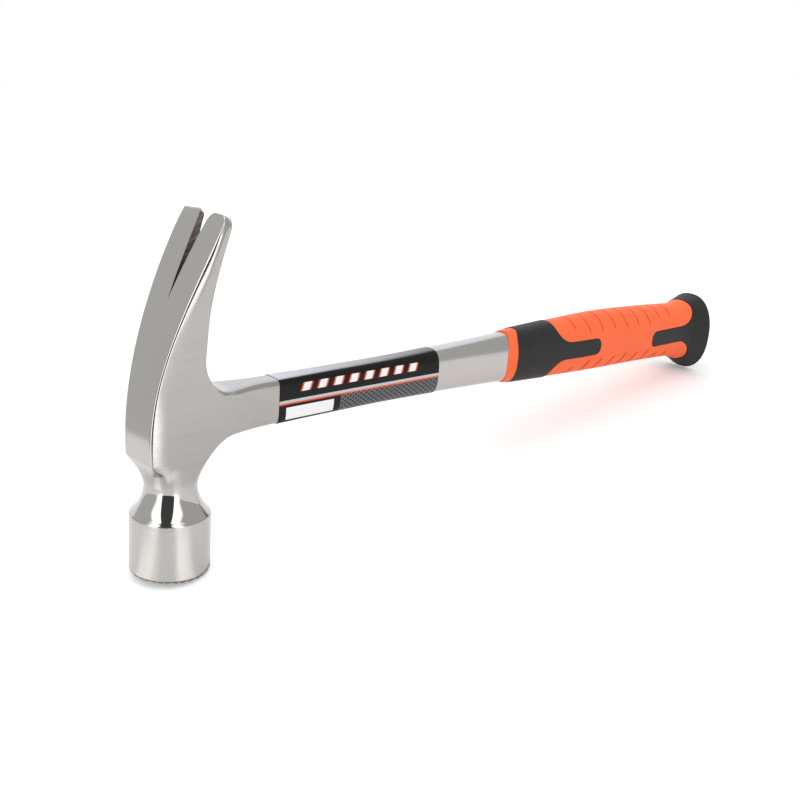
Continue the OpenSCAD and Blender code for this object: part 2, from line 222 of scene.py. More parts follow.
@dataclass(frozen=True)
class Handle:
    """Centre line and sections of the shank and the grip, which all the handle's pieces share.

    Attributes:
        shank_level: Height of the centre line at the head axis.
        grip_start: Front of the grip along the handle.
        grip_end: Butt of the grip along the handle.
        proud: How far the black overmould stands out from the orange core.
    """

    face_reach: float = 15.3
    shank_level: float = 65.0
    line_fall: float = 0.0079
    butt_droop: float = 3.8
    droop_start: float = 250.0
    shank_height: float = 19.8
    shank_thickness: float = 11.5
    shank_end_height: float = 25.2
    shank_end_thickness: float = 16.2
    thicker_start: float = 60.0
    higher_start: float = 100.0
    shank_root: float = 25.5
    cheek_thickness: float = 23.2
    taper_start: float = 6.0
    taper_end: float = 44.0
    square_shank: float = 7.0
    square_label: float = 5.0
    square_grip: float = 2.3
    grip_start: float = 189.5
    grip_end: float = 363.5
    rim_x: float = 362.0
    flare_start: float = 341.0
    flare_drop: float = 1.4
    rest_drop: float = 1.8
    collar_rim: float = 0.7
    tang_inset: float = 6.0
    palm_share: float = 0.47
    palm_height: float = 32.4
    tail_height: float = 31.5
    rim_height: float = 44.4
    front_ratio: float = 0.645
    rim_ratio: float = 0.7
    proud: float = 0.35
    steps: int = 24

    @property
    def grip_length(self) -> float:
        """Length of the grip."""
        return self.grip_end - self.grip_start

    @property
    def palm_x(self) -> float:
        """Place of the thickest part of the palm."""
        return self.grip_start + self.palm_share * self.grip_length

    def centre(self, x: Array) -> Array:
        """Height of the centre line: a slight even fall, and a parabola of droop toward the butt."""
        droop = unit((x - self.droop_start) / (self.rim_x - self.droop_start)) ** 2
        return self.shank_level - self.line_fall * x - self.butt_droop * droop

    def shank_half_height(self, x: Array) -> Array:
        """Half the shank's height, which grows by a power of one and a half toward the grip."""
        t = unit((x - self.higher_start) / (self.grip_start - self.higher_start)) ** 1.5
        return mix(self.shank_height, self.shank_end_height, t) / 2.0

    def taper(self, x: Array) -> Array:
        """Smooth step along the handle from the cheeks' thickness to the shank's."""
        return ease((x - self.taper_start) / (self.taper_end - self.taper_start))

    def shank_half_thickness(self, x: Array) -> Array:
        """Half the shank's thickness, which grows toward the grip and toward the cheeks.

        Args:
            x: Places along the handle.

        Returns:
            The half thicknesses.
        """
        t = unit((x - self.thicker_start) / (self.grip_start - self.thicker_start)) ** 1.5
        plain = mix(self.shank_thickness, self.shank_end_thickness, t) / 2.0
        return plain + (self.cheek_thickness - self.shank_thickness) / 2.0 * (1.0 - self.taper(x))

    def shank_square(self, x: Array) -> Array:
        """Squareness of the shank's section: 2 is an ellipse, and more is squarer.

        Args:
            x: Places along the handle.

        Returns:
            The powers of the section.
        """
        near = unit((x - self.shank_root) / (self.thicker_start - self.shank_root))
        far = unit((x - self.thicker_start) / (self.grip_start - self.thicker_start)) ** 0.6
        label = mix(self.square_shank, self.square_label, near)
        return np.where(x < self.thicker_start, label, mix(self.square_label, self.square_grip, far))

    def flare(self, x: Array) -> Array:
        """Share of the butt's flare, a power of 1.4 from its start to the rim."""
        return unit((x - self.flare_start) / (self.rim_x - self.flare_start)) ** 1.4

    def grip_centre(self, x: Array) -> Array:
        """Height of the grip's middle, which drops below the centre line in the flare."""
        return self.centre(x) - self.flare_drop * self.flare(x)

    def grip_half_height(self, x: Array) -> Array:
        """Half the grip's height: a power of 1.4 to the palm, a smooth fall to the tail, then the flare.

        Args:
            x: Places along the handle.

        Returns:
            The half heights.
        """
        swell = 1.0 - (1.0 - unit((x - self.grip_start) / (self.palm_x - self.grip_start))) ** 1.4
        front = mix(self.shank_end_height / 2.0 + self.collar_rim, self.palm_height / 2.0, swell)
        fall = ease((x - self.palm_x) / (self.flare_start - self.palm_x))
        back = mix(self.palm_height, self.tail_height, fall) / 2.0
        rim = (self.rim_height - self.tail_height) / 2.0 * self.flare(x)
        return rim + np.where(x < self.palm_x, front, back)

    def grip_ratio(self, x: Array) -> Array:
        """Width of the grip as a part of its height, which grows evenly along it."""
        return mix(self.front_ratio, self.rim_ratio, unit((x - self.grip_start) / self.grip_length))

    def grip_points(self, x: Array, angle: Array, grow: Array = 0.0, shrink: Array = 1.0) -> Array:
        """Points on the grip: a rounded oval with the powers of an angle's cosine and sine.

        Args:
            x: Places along the handle.
            angle: Angles round the section, from the near side upwards.
            grow: How far the points stand out from the grip's surface.
            shrink: Factor on the section's size.

        Returns:
            The points, in the shape of the arguments with 3 values each.
        """
        half = self.grip_half_height(x)
        e = 2.0 / self.square_grip
        y = -(half * self.grip_ratio(x) + grow) * shrink * power(np.cos(angle), e)
        z = self.grip_centre(x) + (half + grow) * shrink * power(np.sin(angle), e)
        return np.stack(np.broadcast_arrays(x + 0.0 * y, y, z), axis=-1)

    def oval(self, x: Array, thickness: Array, height: Array, square: Array) -> Array:
        """Rings of points in planes across the handle.

        Args:
            x: Place of each ring.
            thickness: Half thickness of each ring.
            height: Half height of each ring.
            square: Squareness of each ring.

        Returns:
            Points shaped (rings, points of a ring, 3).
        """
        angle = ring_angles(self.steps)[None, :]
        x, thickness, height, square = (np.asarray(v, float)[:, None] for v in (x, thickness, height, square))
        y = -thickness * power(np.cos(angle), 2.0 / square)
        z = self.centre(x) + height * power(np.sin(angle), 2.0 / square)
        return np.stack(np.broadcast_arrays(x + 0.0 * y, y, z), axis=-1)

    def shank_rings(self, x: Array, grow: Array = 0.0) -> Array:
        """Rings of the shank at the places x, standing out by grow.

        Args:
            x: Places along the handle.
            grow: How far the rings stand out from the shank.

        Returns:
            Points shaped (rings, points of a ring, 3).
        """
        return self.oval(
            x, self.shank_half_thickness(x) + grow, self.shank_half_height(x) + grow, self.shank_square(x)
        )

    @property
    def tang_start(self) -> float:
        """Place under the collar where the shank steps down to the tang."""
        return self.grip_start + self.tang_inset

    def tang_rings(self) -> Array:
        """Rings of the tang inside the grip: under the collar, in the palm and at its wider end.

        Returns:
            Points shaped (rings, points of a ring, 3).
        """
        x = self.grip_start + self.grip_length * np.array([0.0, 0.68, 0.78, 0.84])
        x[0] = self.tang_start
        thickness = np.array([10.0, 8.4, 8.4, 12.0]) / 2.0
        height = np.array([18.8, 14.0, 14.0, 19.0]) / 2.0
        return self.oval(x, thickness, height, np.full(4, 4.0))

    def stance(self) -> Stance:
        """The tip that brings the butt's rim down to the level of the face's edge.

        Returns:
            The stance of the whole hammer.
        """
        x = np.array(self.rim_x)
        low = self.centre(x) - self.rest_drop - self.grip_half_height(x) - self.proud
        return Stance(math.atan(float(low) / (self.rim_x - self.face_reach)))


@dataclass(frozen=True)
class Rows:
    """Rows of the head above its neck, each value an array with one entry per row.

    Attributes:
        level: Height of the strap's end of the row.
        corner: Side view place (x, z) of the inner corner.
        way: Outward way (x, z) of the inner wall.
        crown: How far the inner wall bulges.
        edge: Thickness at the inner corner, as a part of the cheek's.
        gap: Half width of the nail notch.
        soft: How far the inner corner is rounded, from 0 to 1.
    """

    level: Array
    corner: Array
    way: Array
    crown: Array
    edge: Array
    gap: Array
    soft: Array

    @staticmethod
    def join(parts: list["Rows"]) -> "Rows":
        """All the rows of the parts, one after another."""
        names = ("level", "corner", "way", "crown", "edge", "gap", "soft")
        return Rows(*(np.concatenate([getattr(part, name) for part in parts]) for name in names))


@dataclass(frozen=True)
class Forging:
    """The one steel piece: poll, neck, head, claw, shank and tang.

    Attributes:
        tip_proud: Factor on cheek_proud at the tips, where the shoulder is short.
        notch_limit: Largest part of the claw's half thickness that the notch takes at its back.
        neck_blend: Start and length of the neck's soft part, as parts of the neck.
        neck_sharp: Start and length of the step to the strap's sharp edge, as parts of the neck.
        neck_polish: Part of the neck that fades from mirror to brushed.
        crease: Angle in degrees past which an edge is shaded sharp.
    """

    handle: Handle
    face_diameter: float = 33.0
    poll_height: float = 25.0
    face_chamfer: float = 0.5
    chamfer_height: float = 1.2
    neck_diameter: float = 21.8
    waist_height: float = 37.0
    strap_width: float = 19.6
    strap_reach: float = 15.4
    strap_bend: float = 50.5
    belly_height: float = 58.4
    shoulder_depth: float = 9.0
    cheek_proud: float = 0.9
    tip_proud: float = 1.55
    head_height: float = 147.0
    claw_lean: float = 29.2
    claw_width: float = 30.2
    spread_start: float = 59.5
    spread_end: float = 143.5
    tip_thickness: float = 5.2
    tip_outer: float = 4.2
    tip_outer_high: float = 4.2
    tip_inner: float = 3.8
    tip_inner_high: float = 4.0
    tip_dome: float = 0.35
    tip_slant: float = 0.0
    slant_depth: float = 7.0
    slant_middle: float = 0.6
    notch_height: float = 113.5
    notch_width: float = 7.4
    notch_flare: float = 2.6
    notch_limit: float = 0.72
    notch_bright: float = 0.95
    upper_fillet: float = 17.8
    lower_fillet: float = 21.0
    neck_bend: float = 0.5
    neck_blend: Span = (0.05, 0.4)
    neck_sharp: Span = (0.58, 0.2)
    neck_polish: float = 0.4
    neck_crown: float = 2.2
    neck_edge: float = 0.97
    claw_edge: float = 0.95
    edge_power: int = 10
    claw_crown: float = 0.5
    tip_crown: float = 0.2
    bow_start: float = 103.0
    claw_rise: float = 4.5
    tooth_pitch: float = 2.8
    tooth_depth: float = 0.7
    edge_round: float = 0.9
    label_start: float = 49.0
    label_end: float = 144.0
    crease: float = 38.0
    n_strap: int = 18
    n_edge: int = 4
    n_shoulder: int = 12
    n_cheek: int = 40
    n_neck: int = 30
    n_lower: int = 16
    n_upper: int = 24
    n_solid_claw: int = 14
    n_claw: int = 44

    @property
    def strap_end(self) -> int:
        """Column of the strap's edge."""
        return self.n_strap + self.n_edge

    @property
    def shoulder_end(self) -> int:
        """Column where the shoulder meets the flat cheek."""
        return self.strap_end + self.n_edge + self.n_shoulder

    @property
    def n_corner(self) -> int:
        """Column of the inner corner."""
        return self.shoulder_end + self.n_cheek

    @property
    def n_half(self) -> int:
        """Column of the middle of the inner wall."""
        return self.n_corner + self.handle.steps

    @property
    def bottom_row(self) -> int:
        """Row of the shank's bottom, counted from the waist."""
        return self.n_neck + self.n_lower

    @property
    def top_row(self) -> int:
        """Row of the shank's top."""
        return self.bottom_row + 2 * self.handle.steps

    @property
    def notch_row(self) -> int:
        """Row of the notch's bottom."""
        return self.top_row + self.n_upper + self.n_solid_claw

    @property
    def root_middle(self) -> float:
        """Height of the shank's middle at its root."""
        return float(self.handle.centre(np.array(self.handle.shank_root)))

    @property
    def root_half(self) -> float:
        """Half the shank's height at its root."""
        return float(self.handle.shank_half_height(np.array(self.handle.shank_root)))

    @property
    def root_corner(self) -> float:
        """Corner of the shank's squarish section, as a part of its half height."""
        return 0.5 ** (1.0 / self.handle.square_shank)

    @property
    def root_crown(self) -> float:
        """How far the shank's top and bottom bulge past its corners."""
        return self.root_half * (1.0 - self.root_corner)

    @property
    def root_top(self) -> float:
        """Height of the shank's upper corner at its root."""
        return self.root_middle + self.root_half * self.root_corner

    @property
    def fillet_top(self) -> float:
        """Height where the upper fillet ends under the claw."""
        return self.root_top + self.upper_fillet

    @property
    def claw_start(self) -> float:
        """Height on the strap where the claw's rows begin."""
        return self.fillet_top + self.claw_rise

    @property
    def tip_x(self) -> float:
        """Side view place of the strap's top end."""
        return float(self.strap_x(np.array(self.head_height)))

    @property
    def tip_slope(self) -> float:
        """Lean of the strap's line at its top end, for each millimetre up."""
        run = self.tip_x + self.strap_reach + self.strap_bend
        return self.strap_rate**2 * (self.head_height - self.belly_height) / run

    @property
    def strap_rate(self) -> float:
        """Rate of the strap's curve, set so that the tips lean as far as claw_lean."""
        run = (self.claw_lean + self.strap_bend) ** 2 - self.strap_bend**2
        return math.sqrt(run) / (self.head_height - self.belly_height)

    def strap_x(self, z: Array) -> Array:
        """Side view line of the strap: a hyperbola with its furthest point at the belly."""
        rise = self.strap_rate * (z - self.belly_height)
        return np.sqrt(self.strap_bend**2 + rise**2) - self.strap_bend - self.strap_reach

    def tip_inset(self, z: Array, wide: float, high: float) -> Array:
        """Rounding of a tip's corner: a quarter ellipse in the last millimetres below the top."""
        down = unit((self.head_height - z) / high)
        return wide * (1.0 - np.sqrt(1.0 - (1.0 - down) ** 2))

    def strap_half(self, z: Array) -> Array:
        """Half width of the strap, which widens by a smooth step toward the tips.

        Args:
            z: Heights above the face.

        Returns:
            The half widths.
        """
        t = ease((z - self.spread_start) / (self.spread_end - self.spread_start))
        full = mix(self.strap_width, self.claw_width, t) / 2.0
        return full - self.tip_inset(z, self.tip_outer, self.tip_outer_high)

    def notch_half(self, z: Array) -> Array:
        """Half width of the nail notch, which widens evenly from its bottom to the tips."""
        t = unit((z - self.notch_height) / (self.head_height - self.notch_height))
        return self.notch_width / 2.0 * t + self.tip_inset(z, self.tip_inner, self.tip_inner_high) * (t > 0.0)

    def far_side(self) -> "Forging":
        """The forging's far half, whose prong has a squarer tip and stands closer to the notch's middle."""
        tip = {"tip_outer": 0.8, "tip_outer_high": 1.4, "tip_inner": 1.0, "tip_inner_high": 1.6}
        return replace(self, notch_width=5.4, tip_dome=0.9, tip_slant=1.2, **tip)

    def lower_rows(self) -> Rows:
        """Rows along the circular fillet from the neck to the shank's bottom.

        Returns:
            The rows, in order from below.
        """
        r, root = self.lower_fillet, self.handle.shank_root
        low = self.root_middle - self.root_half * self.root_corner
        t = spaced(self.n_lower)
        a = np.radians(135.0 - 45.0 * t)
        return Rows(
            level=mix(low - r * (1.0 - math.cos(math.radians(45.0))), low, t),
            corner=np.stack([root + r * np.cos(a), low - r * (1.0 - np.sin(a))], -1),
            way=np.stack([-np.cos(a), -np.sin(a)], -1),
            crown=mix(self.neck_crown, self.root_crown, ease(t)),
            edge=mix(self.neck_edge, self.root_corner, t),
            gap=0.0 * t,
            soft=1.0 - ease(t),
        )

    def root_rows(self) -> Rows:
        """Rows up the shank's side, placed by the sine of its ring angle.

        Returns:
            The rows, in order from below.
        """
        h = self.handle
        a = quarter(np.linspace(-1.0, 1.0, 2 * h.steps + 1)[1:])
        z = self.root_middle + self.root_half * power(np.sin(a), 2.0 / h.square_shank)
        flat = 0.0 * z
        return Rows(
            level=z,
            corner=np.stack([flat + h.shank_root, z], -1),
            way=np.stack([flat, flat + 1.0], -1),
            crown=flat + self.root_crown,
            edge=power(np.cos(a), 2.0 / h.square_shank),
            gap=flat,
            soft=flat,
        )

    def upper_rows(self) -> Rows:
        """Rows along the circular fillet from the shank's top to the claw.

        Returns:
            The rows, in order from below.
        """
        r, root = self.upper_fillet, self.handle.shank_root
        t = spaced(self.n_upper)[1:]
        a = np.radians(270.0 - 90.0 * t)
        return Rows(
            level=mix(self.root_top, self.claw_start, t),
            corner=np.stack([root + r * np.cos(a), self.fillet_top + r * np.sin(a)], -1),
            way=np.stack([-np.cos(a), -np.sin(a)], -1),
            crown=mix(self.root_crown, self.claw_crown, t),
            edge=mix(self.root_corner, self.claw_edge, t),
            gap=0.0 * t,
            soft=ease(t),
        )

    def claw_rows(self) -> Rows:
        """Rows between the strap and the claw's bowed underside, closer together at the tips.

        Returns:
            The rows, in order from below.
        """
        reach = self.tip_thickness / math.hypot(1.0, self.tip_slope)
        under_x, under_z = self.tip_x + reach, self.head_height - self.tip_slope * reach
        height = self.head_height - self.claw_start
        bottom = (self.notch_height - self.claw_start) / height
        top = 1.0 - self.tip_dome / height
        t = spaced(self.n_claw)[1:]
        solid = np.linspace(0.0, bottom, self.n_solid_claw + 1)[1:]
        s = np.concatenate([solid, mix(bottom, top, np.sin(t * math.pi / 2.0) ** 1.2)])
        z = mix(self.fillet_top, under_z, s)
        bow = unit((z - self.bow_start) / (under_z - self.bow_start)) ** 2
        level = mix(self.claw_start, self.head_height, s)
        return Rows(
            level=level,
            corner=np.stack([mix(self.handle.shank_root - self.upper_fillet, under_x, bow), z], -1),
            way=np.stack([1.0 + 0.0 * s, -0.5 * s], -1),
            crown=mix(self.claw_crown, self.tip_crown, s),
            edge=self.claw_edge + 0.0 * s,
            gap=np.where(s > bottom + 1e-6, self.notch_half(level), 0.0),
            soft=1.0 + 0.0 * s,
        )

    def rows(self) -> Rows:
        """All rows of the head, from the neck to the tips."""
        return Rows.join([self.lower_rows(), self.root_rows(), self.upper_rows(), self.claw_rows()])

    def sections(self, rows: Rows) -> Array:
        """Near half of the head's section on each row, from the strap's middle to the inner wall's.

        The strap is straight across. The shoulder rises from its edge to the cheek by a parabola, the
        cheek tapers to the shank's thickness, and the inner wall is a quarter of a squarish oval.

        Args:
            rows: The rows of the head.

        Returns:
            Points shaped (rows, columns, 3).
        """
        h = self.handle
        level, gap, edge = (v[:, None] for v in (rows.level, rows.gap, rows.edge))
        corner_x, corner_z = rows.corner[:, :1], rows.corner[:, 1:]
        strap_x, wide = self.strap_x(level), self.strap_half(level)
        length = np.hypot(corner_x - strap_x, corner_z - level)
        shoulder = np.minimum(self.shoulder_depth / length, 0.5)
        near_edge = self.edge_round / length
        proud = self.cheek_proud * mix(self.tip_proud, 1.0, unit(shoulder * length / self.shoulder_depth))
        cheek = np.maximum(h.cheek_thickness / 2.0, wide + proud)

        across = spaced(self.n_strap)[None, :]
        strap_y = np.hstack([
            mix(gap, wide - self.edge_round, across),
            wide - self.edge_round * np.linspace(1.0, 0.0, self.n_edge + 1)[None, 1:],
        ])
        ones = np.ones_like(strap_y)
        strap = np.stack([strap_x * ones, -strap_y, level * ones], axis=-1)

        counts = (self.n_edge, self.n_shoulder, self.n_cheek)
        t_edge, t_shoulder, t_cheek = (spaced(count)[None, 1:] for count in counts)
        u = np.hstack([near_edge * t_edge, mix(near_edge, shoulder, t_shoulder), mix(shoulder, 1.0, t_cheek)])
        x = mix(strap_x, corner_x, u)
        full = mix(wide, cheek, 1.0 - (1.0 - unit(u / shoulder)) ** 2)
        side_y = (full - (full - h.shank_thickness / 2.0) * h.taper(x)) * mix(1.0, edge, u**self.edge_power)
        side = np.stack([x, -side_y, mix(level, corner_z, u)], axis=-1)

        corner = self.root_corner
        a = math.radians(90.0) + quarter(np.linspace(-1.0, 0.0, h.steps + 1)[None, 1:])
        inward = power(np.cos(a), 2.0 / h.square_shank) / corner
        bulge = (power(np.sin(a), 2.0 / h.square_shank) - corner) / (1.0 - corner)
        out = rows.crown[:, None] * bulge
        slot = np.minimum(gap * self.notch_flare, self.notch_limit * side_y[:, -1:])
        wall_y = mix(slot, side_y[:, -1:], inward)
        wall_x, wall_z = corner_x + rows.way[:, :1] * out, corner_z + rows.way[:, 1:] * out
        wall = np.stack([wall_x, -wall_y, wall_z], axis=-1)

        points = np.concatenate([strap, side, wall], axis=1)
        lift = self.tip_slant * ease((level - self.head_height + self.slant_depth) / self.slant_depth)
        points[..., 2] += lift * (self.slant_middle + 2.0 * points[..., 1] / self.claw_width)
        every = np.ones(len(points))
        points = bend(points, self.n_strap, self.strap_end, self.strap_end + self.n_edge, every)
        return bend(points, self.n_corner - 2, self.n_corner, self.n_corner + 4, rows.soft)

    def neck_angles(self) -> Array:
        """Angle round the head axis of each column at the waist, in radians.

        Returns:
            One angle per column of the near half.
        """
        places = [0, self.strap_end, self.shoulder_end, self.n_corner, self.n_half]
        degrees = [180.0, 213.7, 234.0, 316.0, 360.0]
        return np.radians(np.interp(np.arange(self.n_half + 1), places, degrees))

    def waist(self) -> Array:
        """Near half of the round waist, one point per column.

        Returns:
            Points shaped (columns, 3).
        """
        a = self.neck_angles()
        r = self.neck_diameter / 2.0
        return np.stack([r * np.cos(a), r * np.sin(a), np.full_like(a, self.waist_height)], axis=-1)

    def neck(self, first: Array) -> Array:
        """Rows of the neck, which open out by a hyperbola from the waist to the first section.

        Args:
            first: Near half of the head's first section.

        Returns:
            Points shaped (rows, columns, 3), without the first section itself.
        """
        t = spaced(self.n_neck)[:-1, None, None]
        b = self.neck_bend
        opened = (np.sqrt(b * b + t * t) - b) / (math.sqrt(b * b + 1.0) - b)
        waist = self.waist()[None]
        flat = mix(waist, first[None], opened)
        flat[..., 2:] = mix(waist[..., 2:], first[None, :, 2:], t)
        steps = (self.neck_blend, self.neck_sharp)
        blend, sharp = (ease((t[:, 0, 0] - start) / long) for start, long in steps)
        last = self.strap_end + self.n_edge + self.n_shoulder // 2
        return bend(flat, self.n_strap // 2 + self.n_edge, self.strap_end, last, blend * (1.0 - sharp))

    def profile(self) -> Array:
        """Turned profile (radius, height) of the poll: a circular cove, the wall and the chamfer.

        Returns:
            Points shaped (rows, 2), from the waist down.
        """
        r_face, r_neck = self.face_diameter / 2.0, self.neck_diameter / 2.0
        depth, flare = self.waist_height - self.poll_height, r_face - r_neck
        r = (flare**2 + depth**2) / (2.0 * flare)
        d = np.linspace(0.0, depth, 26)
        cove = np.stack([r_neck + r - np.sqrt(r * r - d * d), self.waist_height - d], axis=-1)
        rim = self.poll_height - np.array([0.2, 0.45, 0.8])
        z = np.concatenate([rim, np.linspace(self.poll_height - 2.0, 2.0, 14), [1.5, 1.3]])
        wall = np.stack([np.full_like(z, r_face), z], axis=-1)
        t = spaced(8)[:, None]
        edge = np.array([r_face, self.chamfer_height]), np.array([r_face - self.face_chamfer, 0.0])
        line = np.concatenate([cove, wall, mix(edge[0], edge[1], t)])
        top = len(cove) - 1
        return bend(line[None], top - 1, top, top + 2, np.ones(1))[0]

    def tooth(self, x: Array, y: Array) -> Array:
        """Height of the milled face: crossed V grooves at 45 degrees, as deep as wide on each side.

        Args:
            x: Places along the handle's way.
            y: Places across it.

        Returns:
            How far the grooves cut up from the face.
        """
        depths = []
        for turned in ((x + y) / math.sqrt(2.0), (x - y) / math.sqrt(2.0)):
            away = np.abs(turned / self.tooth_pitch - np.floor(turned / self.tooth_pitch) - 0.5)
            depths.append(self.tooth_depth - away * self.tooth_pitch)
        return np.maximum(np.maximum(depths[0], depths[1]), 0.0)

    def poll(self) -> Array:
        """The turned poll from the waist down to the middle of its milled face.

        Returns:
            Points shaped (rows, columns, 3), with whole turns of columns.
        """
        near = self.neck_angles()
        a = np.concatenate([near, -near[-2:0:-1]])
        line = self.profile()
        inner = np.linspace(line[-1, 0], 0.0, 64)[1:, None]
        line = np.concatenate([line, np.hstack([inner, 0.0 * inner])])
        x, y = line[:, :1] * np.cos(a), line[:, :1] * np.sin(a)
        milled = np.maximum(line[:, 1:], self.tooth(x, y))
        z = np.where(line[:, 1:] <= self.chamfer_height, milled, line[:, 1:])
        z[-1] = z[-1].mean()
        return np.stack([x, y, z], axis=-1)

    def tip_cap(self, loop: Array) -> Array:
        """Domed end of one claw tip.

        The loop moves in and up along a quarter circle, then shrinks evenly to its middle.

        Args:
            loop: Points round the tip's last row.

        Returns:
            Points shaped (rows, points of the loop, 3).
        """
        middle = (loop.min(axis=0) + loop.max(axis=0)) / 2.0
        to_middle = middle - loop
        to_middle /= np.linalg.norm(to_middle, axis=-1, keepdims=True)
        ahead = np.array([self.tip_slope, 0.0, 1.0]) / math.hypot(1.0, self.tip_slope)
        a = np.radians(np.linspace(0.0, 90.0, 6))[:, None, None]
        rim = loop + self.tip_dome * ((1.0 - np.cos(a)) * to_middle + np.sin(a) * ahead)
        t = spaced(6)[1:, None, None]
        return np.concatenate([rim, mix(rim[-1], middle + self.tip_dome * ahead, t)])

    def half_points(self) -> Array:
        """Near half of the neck and the head, shaped (rows, columns, 3)."""
        head = self.sections(self.rows())
        return np.concatenate([self.neck(head[0]), head])

    def lay_half(self, skin: Skin, half: Array) -> None:
        """Lays one half of the neck and the head, with its side of the notch and its tip.

        Args:
            skin: The skin that takes the grids.
            half: Points of that half.
        """
        k, n = self.n_corner, self.n_neck
        column = np.arange(self.n_half + 1)[None, :]
        row = np.arange(len(half))[:, None]
        strap = (column <= self.strap_end) * ease((row - 0.6 * n) / (0.4 * n))
        polish = 1.0 - ease(row / (self.neck_polish * n)) + 0.0 * column
        skin.lay(half[:, : k + 1], strap=strap[:, : k + 1], polish=polish[:, : k + 1])
        skin.lay(half[: self.bottom_row + 1, k:], polish=polish[: self.bottom_row + 1, k:])
        skin.lay(half[self.top_row :, k:])
        open_rows = half[self.notch_row :]
        t = np.concatenate([[0.0, 0.02], np.linspace(0.12, 0.88, 12), [0.98, 1.0]])[None, :]
        slit = mix(open_rows[:, -1:], open_rows[:, :1], t[..., None])
        s = (open_rows[:, :1, 2] - self.notch_height) / (self.head_height - self.notch_height)
        bright = mix(1.0, self.notch_bright, t)
        skin.lay(slit, notch=(1.0 - ease((s - bright) / 0.06)) * (t > 0.0) * (t < 1.0))
        skin.lay(self.tip_cap(np.concatenate([half[-1], slit[-1, 1:-1]])), wrap=True)

    def root_ring(self, near: Array, far: Array) -> Array:
        """Ring of the two halves' points where the shank begins, from its lower near corner.

        Args:
            near: Points of the near half.
            far: Points of the far half.

        Returns:
            Points shaped (points of a ring, 3).
        """
        k, bottom, top = self.n_corner, self.bottom_row, self.top_row
        return np.concatenate([
            near[bottom : top + 1, k],
            near[top, k + 1 :],
            far[top, k:-1][::-1],
            far[bottom:top, k][::-1],
            far[bottom, k + 1 :],
            near[bottom, k + 1 : -1][::-1],
        ])

    def build(self, stance: Stance) -> bpy.types.Object:
        """Makes the steel piece.

        Args:
            stance: How the hammer rests.

        Returns:
            The piece, with the marks strap, polish, notch and turned on its points.
        """
        h, other = self.handle, self.far_side()
        skin = Skin("steel_forging", ("strap", "polish", "notch", "turned"))
        near, far = self.half_points(), other.half_points() * MIRROR
        self.lay_half(skin, near)
        other.lay_half(skin, far)
        places = [h.shank_root, self.label_start, self.label_end, h.tang_start]
        counts = (17, 26, 24)
        spans = zip(places[:-1], places[1:], counts)
        x = np.concatenate([np.linspace(start, stop, count)[1:] for start, stop, count in spans])
        tang = h.tang_rings()
        end = np.broadcast_to(tang[-1].mean(axis=0), tang[-1:].shape)
        root = self.root_ring(near, far)[None]
        skin.lay(np.concatenate([root, h.shank_rings(x), tang, end]), wrap=True)
        poll = self.poll()
        cove = ease((poll[:, :1, 2] - self.poll_height + 0.1) / 0.3)
        skin.lay(poll, wrap=True, turned=1.0 - cove, polish=cove)
        return skin.weld(stance, self.crease)


@dataclass(frozen=True)
class Tongue:
    """Side view outline of a black overmould: a base across the grip and a tongue along its side.

    Attributes:
        base: Place of the base along the handle.
        way: 1 where the tongue points to the butt, -1 where it points to the head.
    """

    handle: Handle
    base: float
    way: float
    length: float = 39.0
    half: float = 4.7
    fillet: float = 11.0
    upper_fillet: float = 11.0
    upper_shift: float = 0.0
    root_rise: float = 0.0
    tip_round: float = 4.0
    drop: float = 0.7
    base_slope: float = 60.0

    def level(self, d: Array) -> Array:
        """Height of the tongue's middle line, which falls evenly by root_rise from the base to the tip."""
        middle = float(self.handle.centre(np.array(self.base + self.way * self.length / 2.0))) - self.drop
        return middle + self.root_rise * (1.0 - unit(d / self.length))

    def aim(self, d: Array, above: Array) -> Array:
        """Distance past the base, taken back by a smooth step where the upper side starts later."""
        return d - np.where(above, self.upper_shift * (1.0 - ease(d / (0.8 * self.length))), 0.0)

    def reach(self, d: Array, above: Array) -> Array:
        """Half height of the outline at the distance d past the base.

        A quarter ellipse narrows it from the base, then it is even, and a quarter circle rounds its tip.

        Args:
            d: Distances past the base.
            above: True for the upper side.

        Returns:
            The half heights.
        """
        d, e = self.aim(d, above), self.tip_round
        u = 1.0 - unit(d / np.where(above, self.upper_fillet, self.fillet))
        root = self.fillet * (1.0 - np.sqrt(1.0 - u * u))
        past = np.clip(d - self.length + e, 0.0, e)
        tip = e - np.sqrt(np.clip(e * e - past**2, 0.0, None))
        return np.where(d < 0.0, self.half + self.fillet - self.base_slope * d, self.half + root - tip)

    def line(self, long: float) -> Array:
        """Points (distance past the base, half height) along a side whose fillet has the given length.

        Args:
            long: Length of the fillet along the handle.

        Returns:
            Points shaped (points, 2), from the base to the tip.
        """
        a = np.radians(np.linspace(0.0, 90.0, 60))
        root = np.stack([long * (1.0 - np.cos(a)), self.half + self.fillet * (1.0 - np.sin(a))], -1)
        start = self.length - self.tip_round
        even = np.stack([np.linspace(long, start, 60), np.full(60, self.half)], -1)
        tip = [start + self.tip_round * np.sin(a), self.half - self.tip_round * (1.0 - np.cos(a))]
        end = np.stack([np.full(8, self.length), np.linspace(self.half - self.tip_round, 0.0, 8)], -1)
        return np.concatenate([root, even, np.stack(tip, -1), end])

    def inside(self, x: Array, z: Array) -> Array:
        """Distance of side view points from the outline, positive inside it.

        Args:
            x: Places along the handle.
            z: Heights.

        Returns:
            The distances, in the shape of x and z together.
        """
        d = self.way * (x - self.base)
        d, rise = np.broadcast_arrays(d, z - self.level(d))
        above = rise > 0.0
        aimed, high = self.aim(d, above), np.abs(rise)
        away = np.full(d.shape, np.inf)
        for long, side in ((self.upper_fillet, above), (self.fillet, ~above)):
            for p in self.line(long):
                away = np.where(side, np.minimum(away, np.hypot(aimed - p[0], high - p[1])), away)
        within = (high < self.reach(d, above)) & (d < self.length)
        return np.where(within, away, -away)


